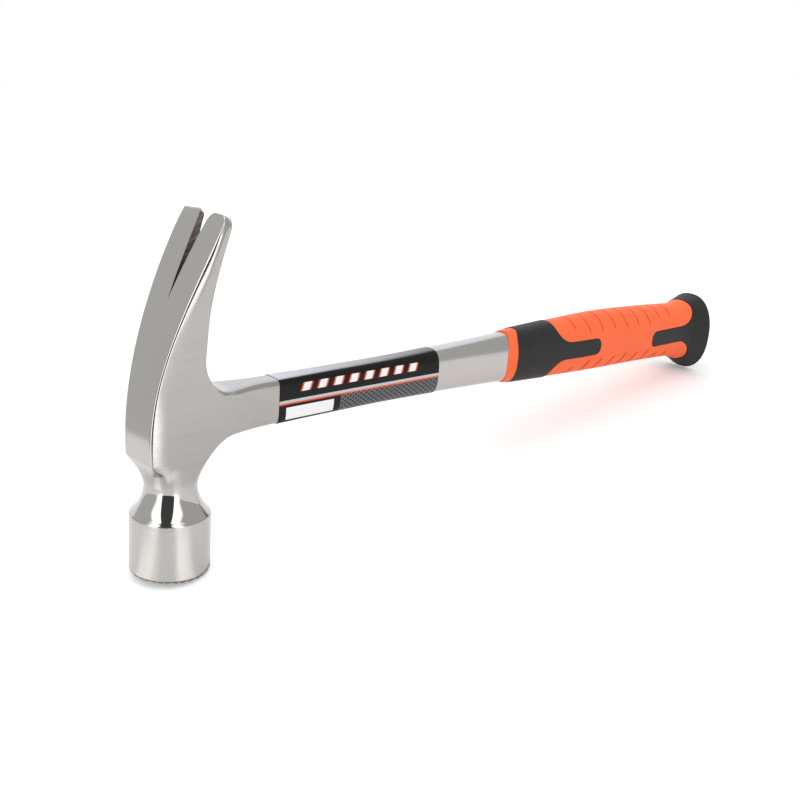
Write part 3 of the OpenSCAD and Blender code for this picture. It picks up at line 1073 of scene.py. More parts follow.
@dataclass(frozen=True)
class Grip:
    """The two-colour moulded grip: an orange core with a black sleeve in front and a black butt cap."""

    handle: Handle
    collar_width: float = 7.8
    sleeve_length: float = 27.2
    cap_length: float = 13.2
    cap_floor: float = 6.0
    cap_flat: float = 0.91
    seat: float = 0.9
    row_step: float = 1.15
    front_round: float = 1.2
    core_back: float = 7.0
    lip: float = 0.45
    lip_width: float = 0.6
    bed: float = 1.3
    rib_pitch: float = 10.8
    rib_shift: float = 14.0
    rib_depth: float = 0.5
    rib_width: float = 1.4
    rib_width_below: float = 2.8
    rib_count: int = 9
    rib_high: float = 0.86
    rib_end: float = 0.44
    rib_end_first: float = 0.63
    rib_end_last: float = 0.6
    top_lean: float = 15.0
    bottom_lean: float = 30.0
    lean_in: Span = (200.0, 25.0)
    lean_out: Span = (352.0, 15.0)
    sleeve_lean_top: float = 3.5
    sleeve_lean_bottom: float = 0.3
    collar_back: float = 0.9
    collar_lean: float = 3.0
    lean_fade: float = 12.0
    # Strength of the painted shade on the upper grooves, as a part of the lower ones'.
    upper_groove_shade: float = 0.8
    n_across: int = 72

    @property
    def sleeve(self) -> Tongue:
        """Outline of the front sleeve."""
        base = self.handle.grip_start + self.collar_width + self.sleeve_length
        return Tongue(self.handle, base, 1.0, upper_fillet=14.0, upper_shift=2.6, root_rise=0.8)

    @property
    def cap(self) -> Tongue:
        """Outline of the butt cap."""
        return Tongue(self.handle, self.handle.grip_end - self.cap_length, -1.0, upper_shift=-0.8)

    def rib_places(self) -> Array:
        """Places of the thin grooves along the handle."""
        steps = np.arange(self.rib_count) - (self.rib_count - 1) / 2.0
        return self.handle.palm_x + self.rib_shift + self.rib_pitch * steps

    def rib_shear(self, x: Array, rise: Array) -> Array:
        """How far a groove has leaned along the handle at a height on the section.

        Args:
            x: Places along the handle.
            rise: Height on the section, from -1 at the bottom to 1 at the top.

        Returns:
            The shift along the handle, straight lines joined at the grooves' ends.
        """
        half = self.handle.palm_height / 2.0
        top = half * math.tan(math.radians(self.top_lean))
        bottom = half * math.tan(math.radians(self.bottom_lean))
        end = self.rib_end - 0.05
        over, under = 1.0 - self.rib_high, self.rib_high - end
        shift = np.interp(
            rise, [-1.0, -end, end, 1.0], [-bottom * over, bottom * under, top * under, -top * over]
        )
        (start, rise_in), (stop, fall) = self.lean_in, self.lean_out
        return shift * ease((x - start) / rise_in) * ease((stop - x) / fall)

    def rib_cut(self, x: Array, rise: Array) -> Array:
        """Depth of the thin grooves: a smooth dip at each place, fading out down the sides.

        Args:
            x: Places along the handle before the grooves' lean.
            rise: Height on the section, from -1 at the bottom to 1 at the top.

        Returns:
            The depths, with shorter grooves at both ends of the row and wider ones below.
        """
        away = np.abs(x[..., None] - self.rib_places())
        width = np.where(rise < 0.0, self.rib_width_below, self.rib_width)
        dip = 1.0 - ease(away.min(axis=-1) / (width / 2.0))
        ends = np.full(self.rib_count, self.rib_end)
        ends[0], ends[-2:] = self.rib_end_first, self.rib_end_last
        end = ends[away.argmin(axis=-1)]
        return self.rib_depth * dip * ease((np.abs(rise) - end) / 0.1)

    def front_edge(self, rise: Array) -> Array:
        """Place of the sleeve's front edge: it leans back by a sixth power to the top, a square below."""
        lean = np.where(rise > 0.0, self.sleeve_lean_top * rise**6, self.sleeve_lean_bottom * rise**2)
        return self.handle.grip_start + self.collar_width + lean

    def core(self, stance: Stance) -> bpy.types.Object:
        """Makes the orange core, with its collar, thin grooves and the beds of the black pieces.

        Args:
            stance: How the hammer rests.

        Returns:
            The piece, with the mark cut in its grooves, which carries their painted shade.
        """
        h = self.handle
        angle = ring_angles(h.steps)[None, :]
        rise = power(np.sin(angle), 2.0 / h.square_grip)
        steps = np.array([-1.4, -1.0, -0.7, -0.5, -0.32, -0.16, 0.0, 0.16, 0.32, 0.5, 0.7, 1.0, 1.4])
        ribs = (self.rib_places()[:, None] + steps).ravel()
        even = np.arange(h.grip_start + 1.6, h.grip_end - self.core_back - 1.0, self.row_step)
        far = np.abs(even[:, None] - self.rib_places()).min(axis=1) > steps[-1] + 0.3
        station = np.sort(np.concatenate([ribs, even[far]]))[:, None]
        lean = self.collar_back + self.collar_lean * rise**2
        fade = 1.0 - ease((station - h.grip_start) / self.lean_fade)
        x = station + self.rib_shear(station, rise) + lean * fade
        z = h.grip_points(x, angle + 0.0 * x)[..., 2]
        inside = np.maximum(self.sleeve.inside(x, z), self.cap.inside(x, z))
        inside = np.minimum(inside, x - self.front_edge(rise))
        cut = self.rib_cut(station + 0.0 * rise, rise + 0.0 * station)
        bed = self.bed * ease(inside - self.seat)
        outer = h.grip_points(x, angle + 0.0 * x, -cut - bed)
        a = np.radians(np.linspace(0.0, 90.0, 6))[:, None]
        front_x = h.grip_start + self.front_round * (1.0 - np.sin(a)) + lean
        front = h.grip_points(front_x, angle + 0.0 * a, -h.collar_rim * (1.0 - np.sin(a[::-1])))
        inner = h.tang_rings()[::-1]
        bore = h.shank_rings(np.array([h.tang_start]))
        mouth = bore.copy()
        mouth[..., 0] = h.grip_start + lean
        mouth[..., 2] += h.centre(mouth[..., 0]) - h.centre(bore[..., 0])
        seal = np.broadcast_to(inner[0].mean(axis=0), inner[:1].shape)
        back_x = np.array([[h.grip_end - self.core_back]])
        back = h.grip_points(back_x, angle, -self.bed)
        middle = np.broadcast_to(back[0].mean(axis=0), back.shape)
        skin = Skin("orange_core", ("cut",))
        grid = np.concatenate([seal, inner, bore, mouth, front[::-1], outer, back, middle])
        marks = np.zeros(grid.shape[:2])
        start = len(grid) - len(outer) - 2
        # The cut mark carries painted shade for the grooves: full on the lower ones, weaker on the upper
        # ones.
        marks[start : start + len(outer)] = cut / self.rib_depth * np.where(rise < 0.0, 1.0, self.upper_groove_shade)
        skin.lay(grid, wrap=True, cut=marks)
        return skin.weld(stance)

    def lip_offset(self, inside: Array) -> Array:
        """Height of a black piece over the core: a rounded edge from below the core to standing proud."""
        t = unit(inside / self.lip_width)
        return mix(-self.lip, self.handle.proud, np.sqrt(1.0 - (1.0 - t) ** 2))

    def mould(self, name: str, tongue: Tongue, x: Array, shrink: Array, stance: Stance) -> bpy.types.Object:
        """Makes one black overmould.

        Its columns run between the outline's lower and upper edge on the near side, closer together at
        the edges, and its far side is the mirror image. The inner skin shares the outline's points, and a
        quad closes the edge where the two sides meet above and below.

        Args:
            name: Name of the piece.
            tongue: Its outline.
            x: Places of the rows along the handle, from the tongue's tip to the other end.
            shrink: Factor on the section's size for each row.
            stance: How the hammer rests.

        Returns:
            The piece.
        """
        h = self.handle
        x, shrink = x[:, None], shrink[:, None]
        half = h.grip_half_height(x)
        d, e = tongue.way * (x - tongue.base), h.square_grip / 2.0
        above = tongue.level(d) - h.grip_centre(x)
        high = np.arcsin(np.clip(power((above + tongue.reach(d, np.array(True))) / half, e), -1.0, 1.0))
        low = np.arcsin(np.clip(power((above - tongue.reach(d, np.array(False))) / half, e), -1.0, 1.0))
        t = spaced(self.n_across)[None, :]
        t = mix(t, ease(t), 0.75)
        angle = mix(low, high, t)
        front = h.grip_start + self.collar_width
        if tongue.way > 0.0:
            rise = power(np.sin(angle), 1.0 / e)
            x = x + (self.front_edge(rise) - front) * (1.0 - unit((x - front) / self.sleeve_length))
        z = h.grip_points(x, angle)[..., 2]
        inside = np.maximum(tongue.inside(x, z), 0.0)
        whole = np.isclose(np.abs(angle[:, [0, -1]]), math.pi / 2.0)
        inside[:, [0, -1]] = np.where(whole, inside[:, [0, -1]], 0.0)
        if tongue.way > 0.0:
            inside = np.minimum(inside, np.maximum(x - self.front_edge(rise), 0.0))
        outer = h.grip_points(x, angle, self.lip_offset(inside), shrink)
        under = -self.lip - (self.bed - self.lip) * ease(inside / 1.5)
        floor = h.grip_end - self.cap_floor
        depth = np.minimum(x, floor) if tongue.way < 0.0 else x
        ends = shrink if tongue.way > 0.0 else np.where(x > floor, shrink * 0.0, 1.0)
        inner = h.grip_points(depth, angle, under, ends)
        skin = Skin(name)
        for flip in (np.ones(3), MIRROR):
            skin.lay(outer * flip)
            skin.lay(inner * flip)
        for column in (0, -1):
            step = int(np.flatnonzero(np.diff(whole[:, column]))[0])
            joined, parted = (step, step + 1) if whole[step, column] else (step + 1, step)
            side = outer[parted, column]
            skin.lay(np.array([[outer[joined, column], side], [side * MIRROR, inner[joined, column]]]))
        return skin.weld(stance)

    def front_sleeve(self, stance: Stance) -> bpy.types.Object:
        """Makes the black sleeve behind the collar, with a tongue on each side.

        Args:
            stance: How the hammer rests.

        Returns:
            The piece.
        """
        tongue = self.sleeve
        a = np.linspace(0.0, math.pi / 2.0, 56)
        b = np.linspace(0.0, math.pi / 2.0, 24)[1:]
        fade = tongue.upper_fillet + tongue.upper_shift
        past = np.concatenate([
            np.linspace(-self.sleeve_length, -self.sleeve_length + 1.0, 9)[:-1],
            np.linspace(-self.sleeve_length + 1.0, -0.5, 30),
            fade * (1.0 - np.cos(a)),
            np.linspace(fade, tongue.length - tongue.tip_round, 24)[1:],
            tongue.length - tongue.tip_round + tongue.tip_round * np.sin(b),
        ])
        x = tongue.base + past
        return self.mould("black_sleeve", tongue, x, np.ones_like(x), stance)

    def butt_cap(self, stance: Stance) -> bpy.types.Object:
        """Makes the black cap of the flared butt, with a tongue on each side and a closed end.

        Args:
            stance: How the hammer rests.

        Returns:
            The piece.
        """
        tongue, h = self.cap, self.handle
        a = np.linspace(0.0, math.pi / 2.0, 40)
        past = np.concatenate([
            tongue.length - tongue.tip_round + tongue.tip_round * np.sin(np.linspace(math.pi / 2.0, 0.0, 24)),
            np.linspace(tongue.length - tongue.tip_round, tongue.fillet, 24)[1:],
            tongue.fillet * (1.0 - np.cos(a[::-1]))[1:],
        ])
        side = np.linspace(0.15, h.rim_x - tongue.base, 78)
        b = np.radians(np.linspace(0.0, 90.0, 8))[1:]
        dome = (h.grip_end - h.rim_x) * np.sin(b)
        x = np.concatenate([tongue.base - past, tongue.base + side, h.rim_x + dome, np.full(10, h.grip_end)])
        flat = np.linspace(self.cap_flat, 0.0, 11)[1:]
        dome_shrink = mix(1.0, self.cap_flat, 1.0 - np.cos(b))
        shrink = np.concatenate([np.ones(len(past) + len(side)), dome_shrink, flat])
        return self.mould("black_cap", tongue, x, shrink, stance)


@dataclass(frozen=True)
class Label:
    """The printed film round the shank.

    Attributes:
        start: Front end of the film along the handle.
        length: Length of the film.
        film: Thickness of the film.
    """

    handle: Handle
    start: float = 49.0
    length: float = 93.6
    film: float = 0.25
    end_rows: float = 1.0
    n_along: int = 60

    def build(self, stance: Stance) -> bpy.types.Object:
        """Makes the film: rings of the shank that stand out by its thickness, with rounded ends.

        Args:
            stance: How the hammer rests.

        Returns:
            The piece, with the marks along and rise for its print, and edge for the painted sheen along its
            top.
        """
        h = self.handle
        a = np.radians(np.linspace(0.0, 90.0, 5))
        rounding = self.film * (1.0 - np.cos(a))
        x = np.concatenate([
            self.start + rounding,
            np.linspace(self.start + self.end_rows, self.start + self.length - self.end_rows, self.n_along),
            self.start + self.length - rounding[::-1],
        ])
        out = self.film * np.concatenate([np.sin(a), np.ones(self.n_along), np.sin(a[::-1])])
        outer = h.shank_rings(x, out)
        inner = h.shank_rings(x[::-1], 0.0)
        along = np.broadcast_to(((x - self.start) / self.length)[:, None], outer.shape[:2])
        rise = (outer[..., 2] - h.centre(outer[..., 0])) / (h.shank_height / 2.0)
        edge = rise * (h.shank_height / 2.0) / (h.shank_half_height(x) + self.film)[:, None]
        skin = Skin("printed_label", ("along", "rise", "edge"))
        skin.lay(outer, wrap=True, along=along, rise=rise, edge=edge)
        skin.lay(inner, wrap=True)
        return skin.weld(stance)


def operator(operation: str, swapped: bool = False) -> Callable[["Value", "Value | float"], "Value"]:
    """Makes the method of a Python operator on shader values.

    Args:
        operation: Blender's name of the operation.
        swapped: True where the other operand comes first.

    Returns:
        A method that adds one Math node.
    """

    def method(self: "Value", other: "Value | float") -> "Value":
        """Adds the node on both operands."""
        return self.graph.math(operation, *((other, self) if swapped else (self, other)))

    return method


class Value:
    """A shader value that Python's operators work on: each operation adds one Math node."""

    __add__, __radd__ = operator("ADD"), operator("ADD", swapped=True)
    __sub__, __rsub__ = operator("SUBTRACT"), operator("SUBTRACT", swapped=True)
    __mul__, __rmul__ = operator("MULTIPLY"), operator("MULTIPLY", swapped=True)
    __truediv__ = operator("DIVIDE")

    def __init__(self, graph: "Graph", socket: bpy.types.NodeSocket) -> None:
        """Wraps a socket of the graph."""
        self.graph = graph
        self.socket = socket

    def math(self, operation: str, *others: "Value | float") -> "Value":
        """Adds a Math node with this value as its first operand."""
        return self.graph.math(operation, self, *others)

    def above(self, level: float, width: float) -> "Value":
        """Soft step from 0 to 1 of the given width round the level."""
        return self.graph.step(self, level - width / 2.0, level + width / 2.0)

    def within(self, low: float, high: float, width: float) -> "Value":
        """Soft window: 1 between low and high, 0 outside."""
        return self.above(low, width) * (1.0 - self.above(high, width))

    def near(self, level: float, reach: float, width: float) -> "Value":
        """Soft window of the given reach round a level."""
        return 1.0 - self.math("SUBTRACT", level).math("ABSOLUTE").above(reach, width)

    def either(self, other: "Value") -> "Value":
        """The larger of the two."""
        return self.math("MAXIMUM", other)


class Graph:
    """Builds the nodes of a material or of the world."""

    def __init__(self, tree: bpy.types.NodeTree) -> None:
        """Empties the tree."""
        self.tree = tree
        tree.nodes.clear()

    def node(self, kind: str, settings: dict | None = None, **sockets: object) -> bpy.types.Node:
        """Adds one node.

        Args:
            kind: Blender's type of the node.
            settings: Properties that are set first.
            sockets: Values, or links from other nodes, by socket name with _ for a space; a name that
                ends in a number is the socket's place.

        Returns:
            The node.
        """
        made = self.tree.nodes.new(kind)
        for name, value in (settings or {}).items():
            setattr(made, name, value)
        for name, value in sockets.items():
            place = name.rsplit("_", 1)[-1]
            socket = made.inputs[int(place) if place.isdigit() else name.replace("_", " ")]
            if isinstance(value, Value):
                value = value.socket
            if isinstance(value, bpy.types.NodeSocket):
                self.tree.links.new(value, socket)
            else:
                socket.default_value = value
        return made

    def take(self, node: bpy.types.Node, output: str | int = 0) -> Value:
        """One output of a node as a value."""
        return Value(self, node.outputs[output])

    def math(self, operation: str, *operands: Value | float) -> Value:
        """Adds a Math node on up to three operands."""
        sockets = {f"in_{k}": operand for k, operand in enumerate(operands)}
        return self.take(self.node("ShaderNodeMath", {"operation": operation}, **sockets))

    def step(self, value: Value, low: float, high: float) -> Value:
        """Smooth step of a value from low to high.

        Args:
            value: The value that is stepped.
            low: Where the step begins.
            high: Where the step ends.

        Returns:
            0 below low, 1 above high, and a smooth curve between.
        """
        settings = {"interpolation_type": "SMOOTHSTEP"}
        made = self.node("ShaderNodeMapRange", settings, Value=value, From_Min=low, From_Max=high)
        return self.take(made)

    def blend(self, factor: Value | float, a: Value | Colour, b: Value | Colour) -> Value:
        """Mix of two colours.

        Args:
            factor: 0 for the first and 1 for the second.
            a: The first colour.
            b: The second colour.

        Returns:
            The mixed colour.
        """
        a, b = (v if isinstance(v, Value) else (*v, 1.0) for v in (a, b))
        made = self.node("ShaderNodeMix", {"data_type": "RGBA"}, in_0=factor, in_6=a, in_7=b)
        return self.take(made, 2)

    def mark(self, name: str) -> Value:
        """A value that the mesh carries on its points."""
        return self.take(self.node("ShaderNodeAttribute", {"attribute_name": name}), "Fac")

    def place(self, scale: Colour = (1.0, 1.0, 1.0)) -> Value:
        """Object coordinates in metres, stretched by the scale."""
        coordinate = self.take(self.node("ShaderNodeTexCoord"), "Object")
        return self.take(self.node("ShaderNodeMapping", None, Vector=coordinate, Scale=scale))

    def split(self, vector: Value) -> list[Value]:
        """The three parts of a vector."""
        parts = self.node("ShaderNodeSeparateXYZ", None, Vector=vector)
        return [self.take(parts, k) for k in range(3)]

    def noise(self, place: Value, scale: float, detail: float = 2.0, roughness: float = 0.5) -> Value:
        """Noise from 0 to 1 over the place."""
        sockets = {"Scale": scale, "Detail": detail, "Roughness": roughness}
        return self.take(self.node("ShaderNodeTexNoise", None, Vector=place, **sockets), "Fac")

    def bump(self, height: Value, strength: float, distance: float) -> Value:
        """Normal of a bumpy surface."""
        sockets = {"Strength": strength, "Distance": distance}
        return self.take(self.node("ShaderNodeBump", None, Height=height, **sockets))

    def shader(self, kind: str, **sockets: object) -> bpy.types.NodeSocket:
        """Adds a node that shades, and gives its output."""
        return self.node(kind, None, **sockets).outputs[0]

    def rays(self) -> tuple[Value, Value]:
        """1 on mirrored rays, and 1 on rays that the camera sends, also through something clear.

        Returns:
            The two values, in that order.
        """
        path = self.node("ShaderNodeLightPath")
        direct = self.take(path, "Is Camera Ray").either(self.take(path, "Is Transmission Ray"))
        return self.take(path, "Is Glossy Ray"), direct


def finished(name: str) -> tuple[bpy.types.Material, Graph]:
    """A new material with an empty graph.

    Args:
        name: Name of the material.

    Returns:
        The material and its graph.
    """
    material = bpy.data.materials.new(name)
    material.use_nodes = True
    return material, Graph(material.node_tree)


def surfaced(graph: Graph, **sockets: object) -> None:
    """Ends a material's graph in one principled shader."""
    graph.node("ShaderNodeOutputMaterial", None, Surface=graph.shader("ShaderNodeBsdfPrincipled", **sockets))


@dataclass(frozen=True)
class Steel:
    """Ground and polished forged steel, with a mirror neck and a rough milled notch."""

    colour: Colour = (0.525, 0.5, 0.482)
    notch: Colour = (0.2, 0.155, 0.14)
    notch_deep: Colour = (0.05, 0.036, 0.032)
    notch_level: float = 0.128
    # Height below which the cheek's colour is darkened with painted shade.
    shade_below: float = 0.07
    cheek_end: float = 0.1

    def material(self) -> bpy.types.Material:
        """Brushed lines vary the roughness and the normal, and the marks set each region's level. The cheek
        is darker in tone with brushed streaks, and lower down it is darkened further with painted shade.

        Returns:
            The new material.
        """
        material, graph = finished("forged_steel")
        strap, polish = graph.mark("strap"), graph.mark("polish")
        notch, turned = graph.mark("notch"), graph.mark("turned")
        lines = graph.noise(graph.place((35.0, 900.0, 1200.0)), 1.0, 4.0, 0.65)
        rings = graph.noise(graph.place((40.0, 40.0, 3000.0)), 1.0, 2.0, 0.6)
        brushed = lines * (1.0 - turned) + rings * turned
        cloud = graph.noise(graph.place(), 60.0, 3.0)
        rough = 0.2 - 0.08 * strap - 0.16 * polish + 0.6 * notch + 0.02 * turned
        rough = rough + (brushed - 0.5) * 0.1 * (1.0 - polish) + (cloud - 0.5) * 0.04 * (1.0 - polish)
        along, _, high = graph.split(graph.place())
        # Painted shade: the cheek near the head is darker in tone with brushed streaks, and darker still low
        # down, where it mirrors the shaded floor.
        cheek = (1.0 - strap) * (1.0 - turned) * (1.0 - along.above(self.cheek_end, 0.12))
        cheek_tone_and_shade = 0.12 + 0.1 * (1.0 - high.above(self.shade_below, 0.05)) + (lines - 0.5) * 0.15
        tone_and_shade = cheek * (1.0 - polish) * cheek_tone_and_shade + polish * 0.03
        plain = graph.blend(tone_and_shade + (cloud - 0.5) * 0.06 + 0.02, self.colour, (0.0, 0.0, 0.0))
        broach = graph.noise(graph.place((120.0, 120.0, 1500.0)), 1.0, 3.0, 0.7)
        scraped = broach.above(0.5, 0.3) * high.above(self.notch_level, 0.02)
        colour = graph.blend(notch, plain, graph.blend(scraped, self.notch_deep, self.notch))
        metal = 1.0 - 0.6 * notch
        height = brushed * (0.15 - 0.14 * polish + 0.45 * turned)
        normal = graph.bump(height, 0.5, 0.0002)
        surfaced(graph, Base_Color=colour, Roughness=rough, Metallic=metal, Normal=normal)
        return material


@dataclass(frozen=True)
class Moulding:
    """Moulded rubber or plastic with a fine grain."""

    name: str
    colour: Colour
    # Darker tone for the slow clouds, and the colour of the painted shade in the grooves.
    deep: Colour
    roughness: float
    grain: float
    specular: float = 0.2
    patchy: float = 0.2

    def material(self) -> bpy.types.Material:
        """A fine grain bumps the surface, slow clouds vary it, and the cut mark paints shade into the
        grooves.

        Returns:
            The new material.
        """
        material, graph = finished(self.name)
        grain = graph.noise(graph.place(), 2600.0)
        cloud = graph.noise(graph.place(), 90.0, 3.0)
        # Painted shade: the grooves' cut mark darkens the colour toward deep, on top of the clouds' tone.
        colour = graph.blend(graph.mark("cut") + (cloud - 0.5) * self.patchy + 0.06, self.colour, self.deep)
        rough = self.roughness + (cloud - 0.5) * 0.1
        normal = graph.bump(grain, self.grain, 0.0002)
        surfaced(graph, Base_Color=colour, Roughness=rough, Normal=normal, Specular_IOR_Level=self.specular)
        return material


@dataclass(frozen=True)
class Print:
    """Generic print of the shank's film: a dark ground with slanted bars, bands, dots and a blank panel."""

    ground: Colour = (0.009, 0.0085, 0.0085)
    grey: Colour = (0.13, 0.13, 0.135)
    silver: Colour = (0.5, 0.54, 0.55)
    orange: Colour = (0.82, 0.1, 0.03)
    white: Colour = (0.86, 0.86, 0.86)
    # Colour of the painted sheen along the film's top.
    sheen_colour: Colour = (0.68, 0.68, 0.7)
    bar_turns: Span = (1.0, 9.0)
    bar_rise: Span = (0.36, 0.72)
    silver_rise: Span = (-0.08, 0.05)
    orange_rise: Span = (-0.15, -0.08)
    panel_along: Span = (0.04, 0.32)
    panel_rise: Span = (-0.84, -0.28)

    def material(self) -> bpy.types.Material:
        """Windows on the marks along and rise place each motif, and a painted silver sheen along the top,
        fading toward the grip, stands for its reflection.

        Returns:
            The new material.
        """
        material, graph = finished("printed_film")
        along, rise, edge = graph.mark("along"), graph.mark("rise"), graph.mark("edge")
        slant = (along * 95.0 - rise * 4.0) / 9.0
        turn = slant.math("FRACT")
        bars = slant.within(*self.bar_turns, 0.02) * rise.within(*self.bar_rise, 0.03)
        wide = bars * turn.within(0.08, 0.72, 0.05)
        thin = bars * turn.within(0.18, 0.62, 0.05)
        field = (1.0 - rise.above(-0.14, 0.02)) * along.above(0.36, 0.004)
        dots = (along * 190.0).math("SINE") * (rise * 30.0).math("SINE")
        panel = along.within(*self.panel_along, 0.004) * rise.within(*self.panel_rise, 0.02)
        colour = graph.blend(field, self.ground, graph.blend(dots.above(0.35, 0.4), self.grey, self.ground))
        colour = graph.blend(rise.within(*self.silver_rise, 0.02), colour, self.silver)
        colour = graph.blend(rise.within(*self.orange_rise, 0.02), colour, self.orange)
        colour = graph.blend(wide, colour, self.orange)
        colour = graph.blend(thin.either(panel), colour, self.white)
        # Painted highlight: a metallic silver sheen along the film's top, stronger toward its front.
        painted_sheen = edge.above(0.965, 0.05) * (0.75 - 0.6 * along)
        colour = graph.blend(painted_sheen, colour, self.sheen_colour)
        surfaced(graph, Base_Color=colour, Metallic=painted_sheen, Roughness=0.2, Specular_IOR_Level=0.15)
        return material


@dataclass(frozen=True)
class Studio:
    """Camera, lamp, floor and the white studio that the metal mirrors.

    Attributes:
        head_view: Heading in degrees from the head toward the camera; turns are counted from it.
        gap_span: Turns of the dark gap in the studio's front.
        strip_ends: Outer turns of the bright strips beside the gap.
        strip_taper: How far each strip narrows toward the floor, in degrees.
        pool_spans: Turns of the light that the strips throw on the floor close to the face.
        streak_spans: Turns of the same light further out.
    """

    place: Colour = (-0.2141, -0.37116, 0.24131)
    heading: float = 47.19358
    pitch: float = -21.79194
    roll: float = 0.16888
    lens: float = 51.9586
    floor_level: float = -0.0015
    plate_front: float = 0.165
    plate_left: float = 0.2
    plate_shine: float = 0.08
    glow: float = 0.12
    pool: float = 0.5
    head_view: float = -120.0
    backdrop: Colour = (1.2, 1.24, 1.3)
    wall: Colour = (0.69, 0.71, 0.7)
    wall_right: Colour = (0.62, 0.64, 0.63)
    strip: Colour = (2.7, 2.7, 2.7)
    gap: Colour = (0.085, 0.085, 0.085)
    roof: Colour = (1.7, 1.7, 1.7)
    ground: Colour = (0.95, 0.95, 0.95)
    gap_span: Span = (-36.0, 12.0)
    strip_ends: Span = (-72.0, 46.0)
    strip_taper: Span = (16.0, 14.0)
    top_span: Span = (-64.0, 46.0)
    wall_turn: float = 20.0
    backdrop_turn: float = 134.0
    taper_rise: float = 20.0
    roof_rise: float = 56.0
    top_rise: float = 66.0
    ground_rise: float = -36.0
    daylight: Colour = (1.08, 1.08, 1.08)
    pool_spans: tuple[Span, Span] = ((-77.0, -41.0), (14.0, 46.0))
    pool_reach: float = 0.068
    streak_spans: tuple[Span, Span] = ((-56.0, -34.0), (10.0, 32.0))
    streak_start: float = 0.12
    streak: float = 1.6
    # Radius of the painted shadow under the face that mirrored rays see on the floor.
    face_ring: float = 0.0188
    near_glow: float = 0.16
    near_reach: float = 0.12
    white_start: float = 0.58

    def camera(self) -> None:
        """Places the camera by its heading, pitch and roll."""
        a, e, r = (math.radians(v) for v in (self.heading, self.pitch, self.roll))
        ahead = np.array([math.cos(a) * math.cos(e), math.sin(a) * math.cos(e), math.sin(e)])
        level = np.array([math.sin(a), -math.cos(a), 0.0])
        upright = np.cross(level, ahead)
        right = level * math.cos(r) + upright * math.sin(r)
        up = upright * math.cos(r) - level * math.sin(r)
        matrix = np.eye(4)
        matrix[:3] = np.stack([right, up, -ahead, np.array(self.place)], axis=1)
        data = bpy.data.cameras.new("camera")
        data.lens, data.sensor_width = self.lens, 36.0
        data.clip_start, data.clip_end = 0.01, 20.0
        made = bpy.data.objects.new("camera", data)
        made.matrix_world = Matrix(matrix.tolist())
        bpy.context.scene.collection.objects.link(made)
        bpy.context.scene.camera = made

    def polar(self, x: Value, y: Value) -> tuple[Value, Value, Value]:
        """Parts of a level way toward and beside the head's view, and its turn from it in degrees.

        Args:
            x: Part of the way along the handle.
            y: Part of the way across it.

        Returns:
            The three values, in that order.
        """
        a = math.radians(self.head_view)
        toward = x * math.cos(a) + y * math.sin(a)
        aside = y * math.cos(a) - x * math.sin(a)
        return toward, aside, aside.math("ARCTAN2", toward) * math.degrees(1.0)

    def mirrored(self, graph: Graph, turn: Value, rise: Value) -> Value:
        """Colours of the studio that mirrored rays see.

        Args:
            graph: The world's graph.
            turn: Angle of the ray round the head, in degrees.
            rise: Angle of the ray above the level, in degrees.

        Returns:
            The colour in that way.
        """
        (first, last), (left_end, right_end) = self.gap_span, self.strip_ends
        left_in, right_in = self.strip_taper
        walls = graph.blend(turn.above(self.wall_turn, 20.0), self.wall, self.wall_right)
        colour = graph.blend(turn.math("ABSOLUTE").above(self.backdrop_turn, 12.0), walls, self.backdrop)
        colour = graph.blend(rise.above(self.roof_rise, 8.0), colour, self.roof)
        low = 1.0 - rise.above(self.taper_rise, 40.0)
        left = (turn - left_in * low).above(left_end, 16.0) * (1.0 - turn.above(first, 6.0))
        right = turn.above(last, 6.0) * (1.0 - (turn + right_in * low).above(right_end, 16.0))
        colour = graph.blend(left.either(right), colour, self.strip)
        colour = graph.blend(turn.within(first, last, 4.0), colour, self.gap)
        top = rise.above(self.top_rise, 4.0) * turn.within(*self.top_span, 20.0)
        colour = graph.blend(top, colour, self.gap)
        return graph.blend(1.0 - rise.above(self.ground_rise, 6.0), colour, self.ground)

    def world(self) -> None:
        """White to the camera, and to mirrored rays a studio of walls, strips, roof and floor."""
        world = bpy.data.worlds.new("studio")
        bpy.context.scene.world = world
        world.use_nodes = True
        graph = Graph(world.node_tree)
        x, y, z = graph.split(graph.take(graph.node("ShaderNodeTexCoord"), "Generated"))
        colour = self.mirrored(graph, self.polar(x, y)[2], z.math("ARCSINE") * math.degrees(1.0))
        glossy, direct = graph.rays()
        shown = graph.blend(direct, graph.blend(glossy, self.daylight, colour), (1.0, 1.0, 1.0))
        back = graph.shader("ShaderNodeBackground", Color=shown, Strength=1.0)
        graph.node("ShaderNodeOutputWorld", None, Surface=back)

    def lamp(self) -> None:
        """One large soft box over the hammer, a little behind it and to its right."""
        data = bpy.data.lights.new("soft_box", "AREA")
        data.shape, data.size, data.size_y, data.energy = "RECTANGLE", 0.9, 0.7, 1.3
        made = bpy.data.objects.new("soft_box", data)
        made.location = (0.3, 0.18, 0.9)
        bpy.context.scene.collection.objects.link(made)

    def floor_finish(self) -> bpy.types.Material:
        """Pale floor, white where nothing shades it; mirrored rays see it lit, with a painted shadow under
        the face, and only as far as a plate.

        Returns:
            The new material.
        """
        material, graph = finished("pale_floor")
        glossy, direct = graph.rays()
        seen = direct.either(glossy)
        unmirrored = (1.0 - glossy) * seen
        x, y, _ = graph.split(graph.place())
        ahead, aside, turn = self.polar(x, y)
        apart = (ahead * ahead + aside * aside).math("SQRT")
        front = ahead - 0.59 * (aside - 0.05).math("MAXIMUM", 0.0)
        beyond = front.above(self.plate_front, 0.006).either(1.0 - aside.above(-self.plate_left, 0.006))
        left, right = (turn.within(*span, 12.0) for span in self.pool_spans)
        pools = left.either(right) * (1.0 - apart.above(self.pool_reach, 0.024)) * self.pool
        left, right = (turn.within(*span, 18.0) for span in self.streak_spans)
        pools = pools + left.either(right) * front.above(self.streak_start, 0.09) * self.streak
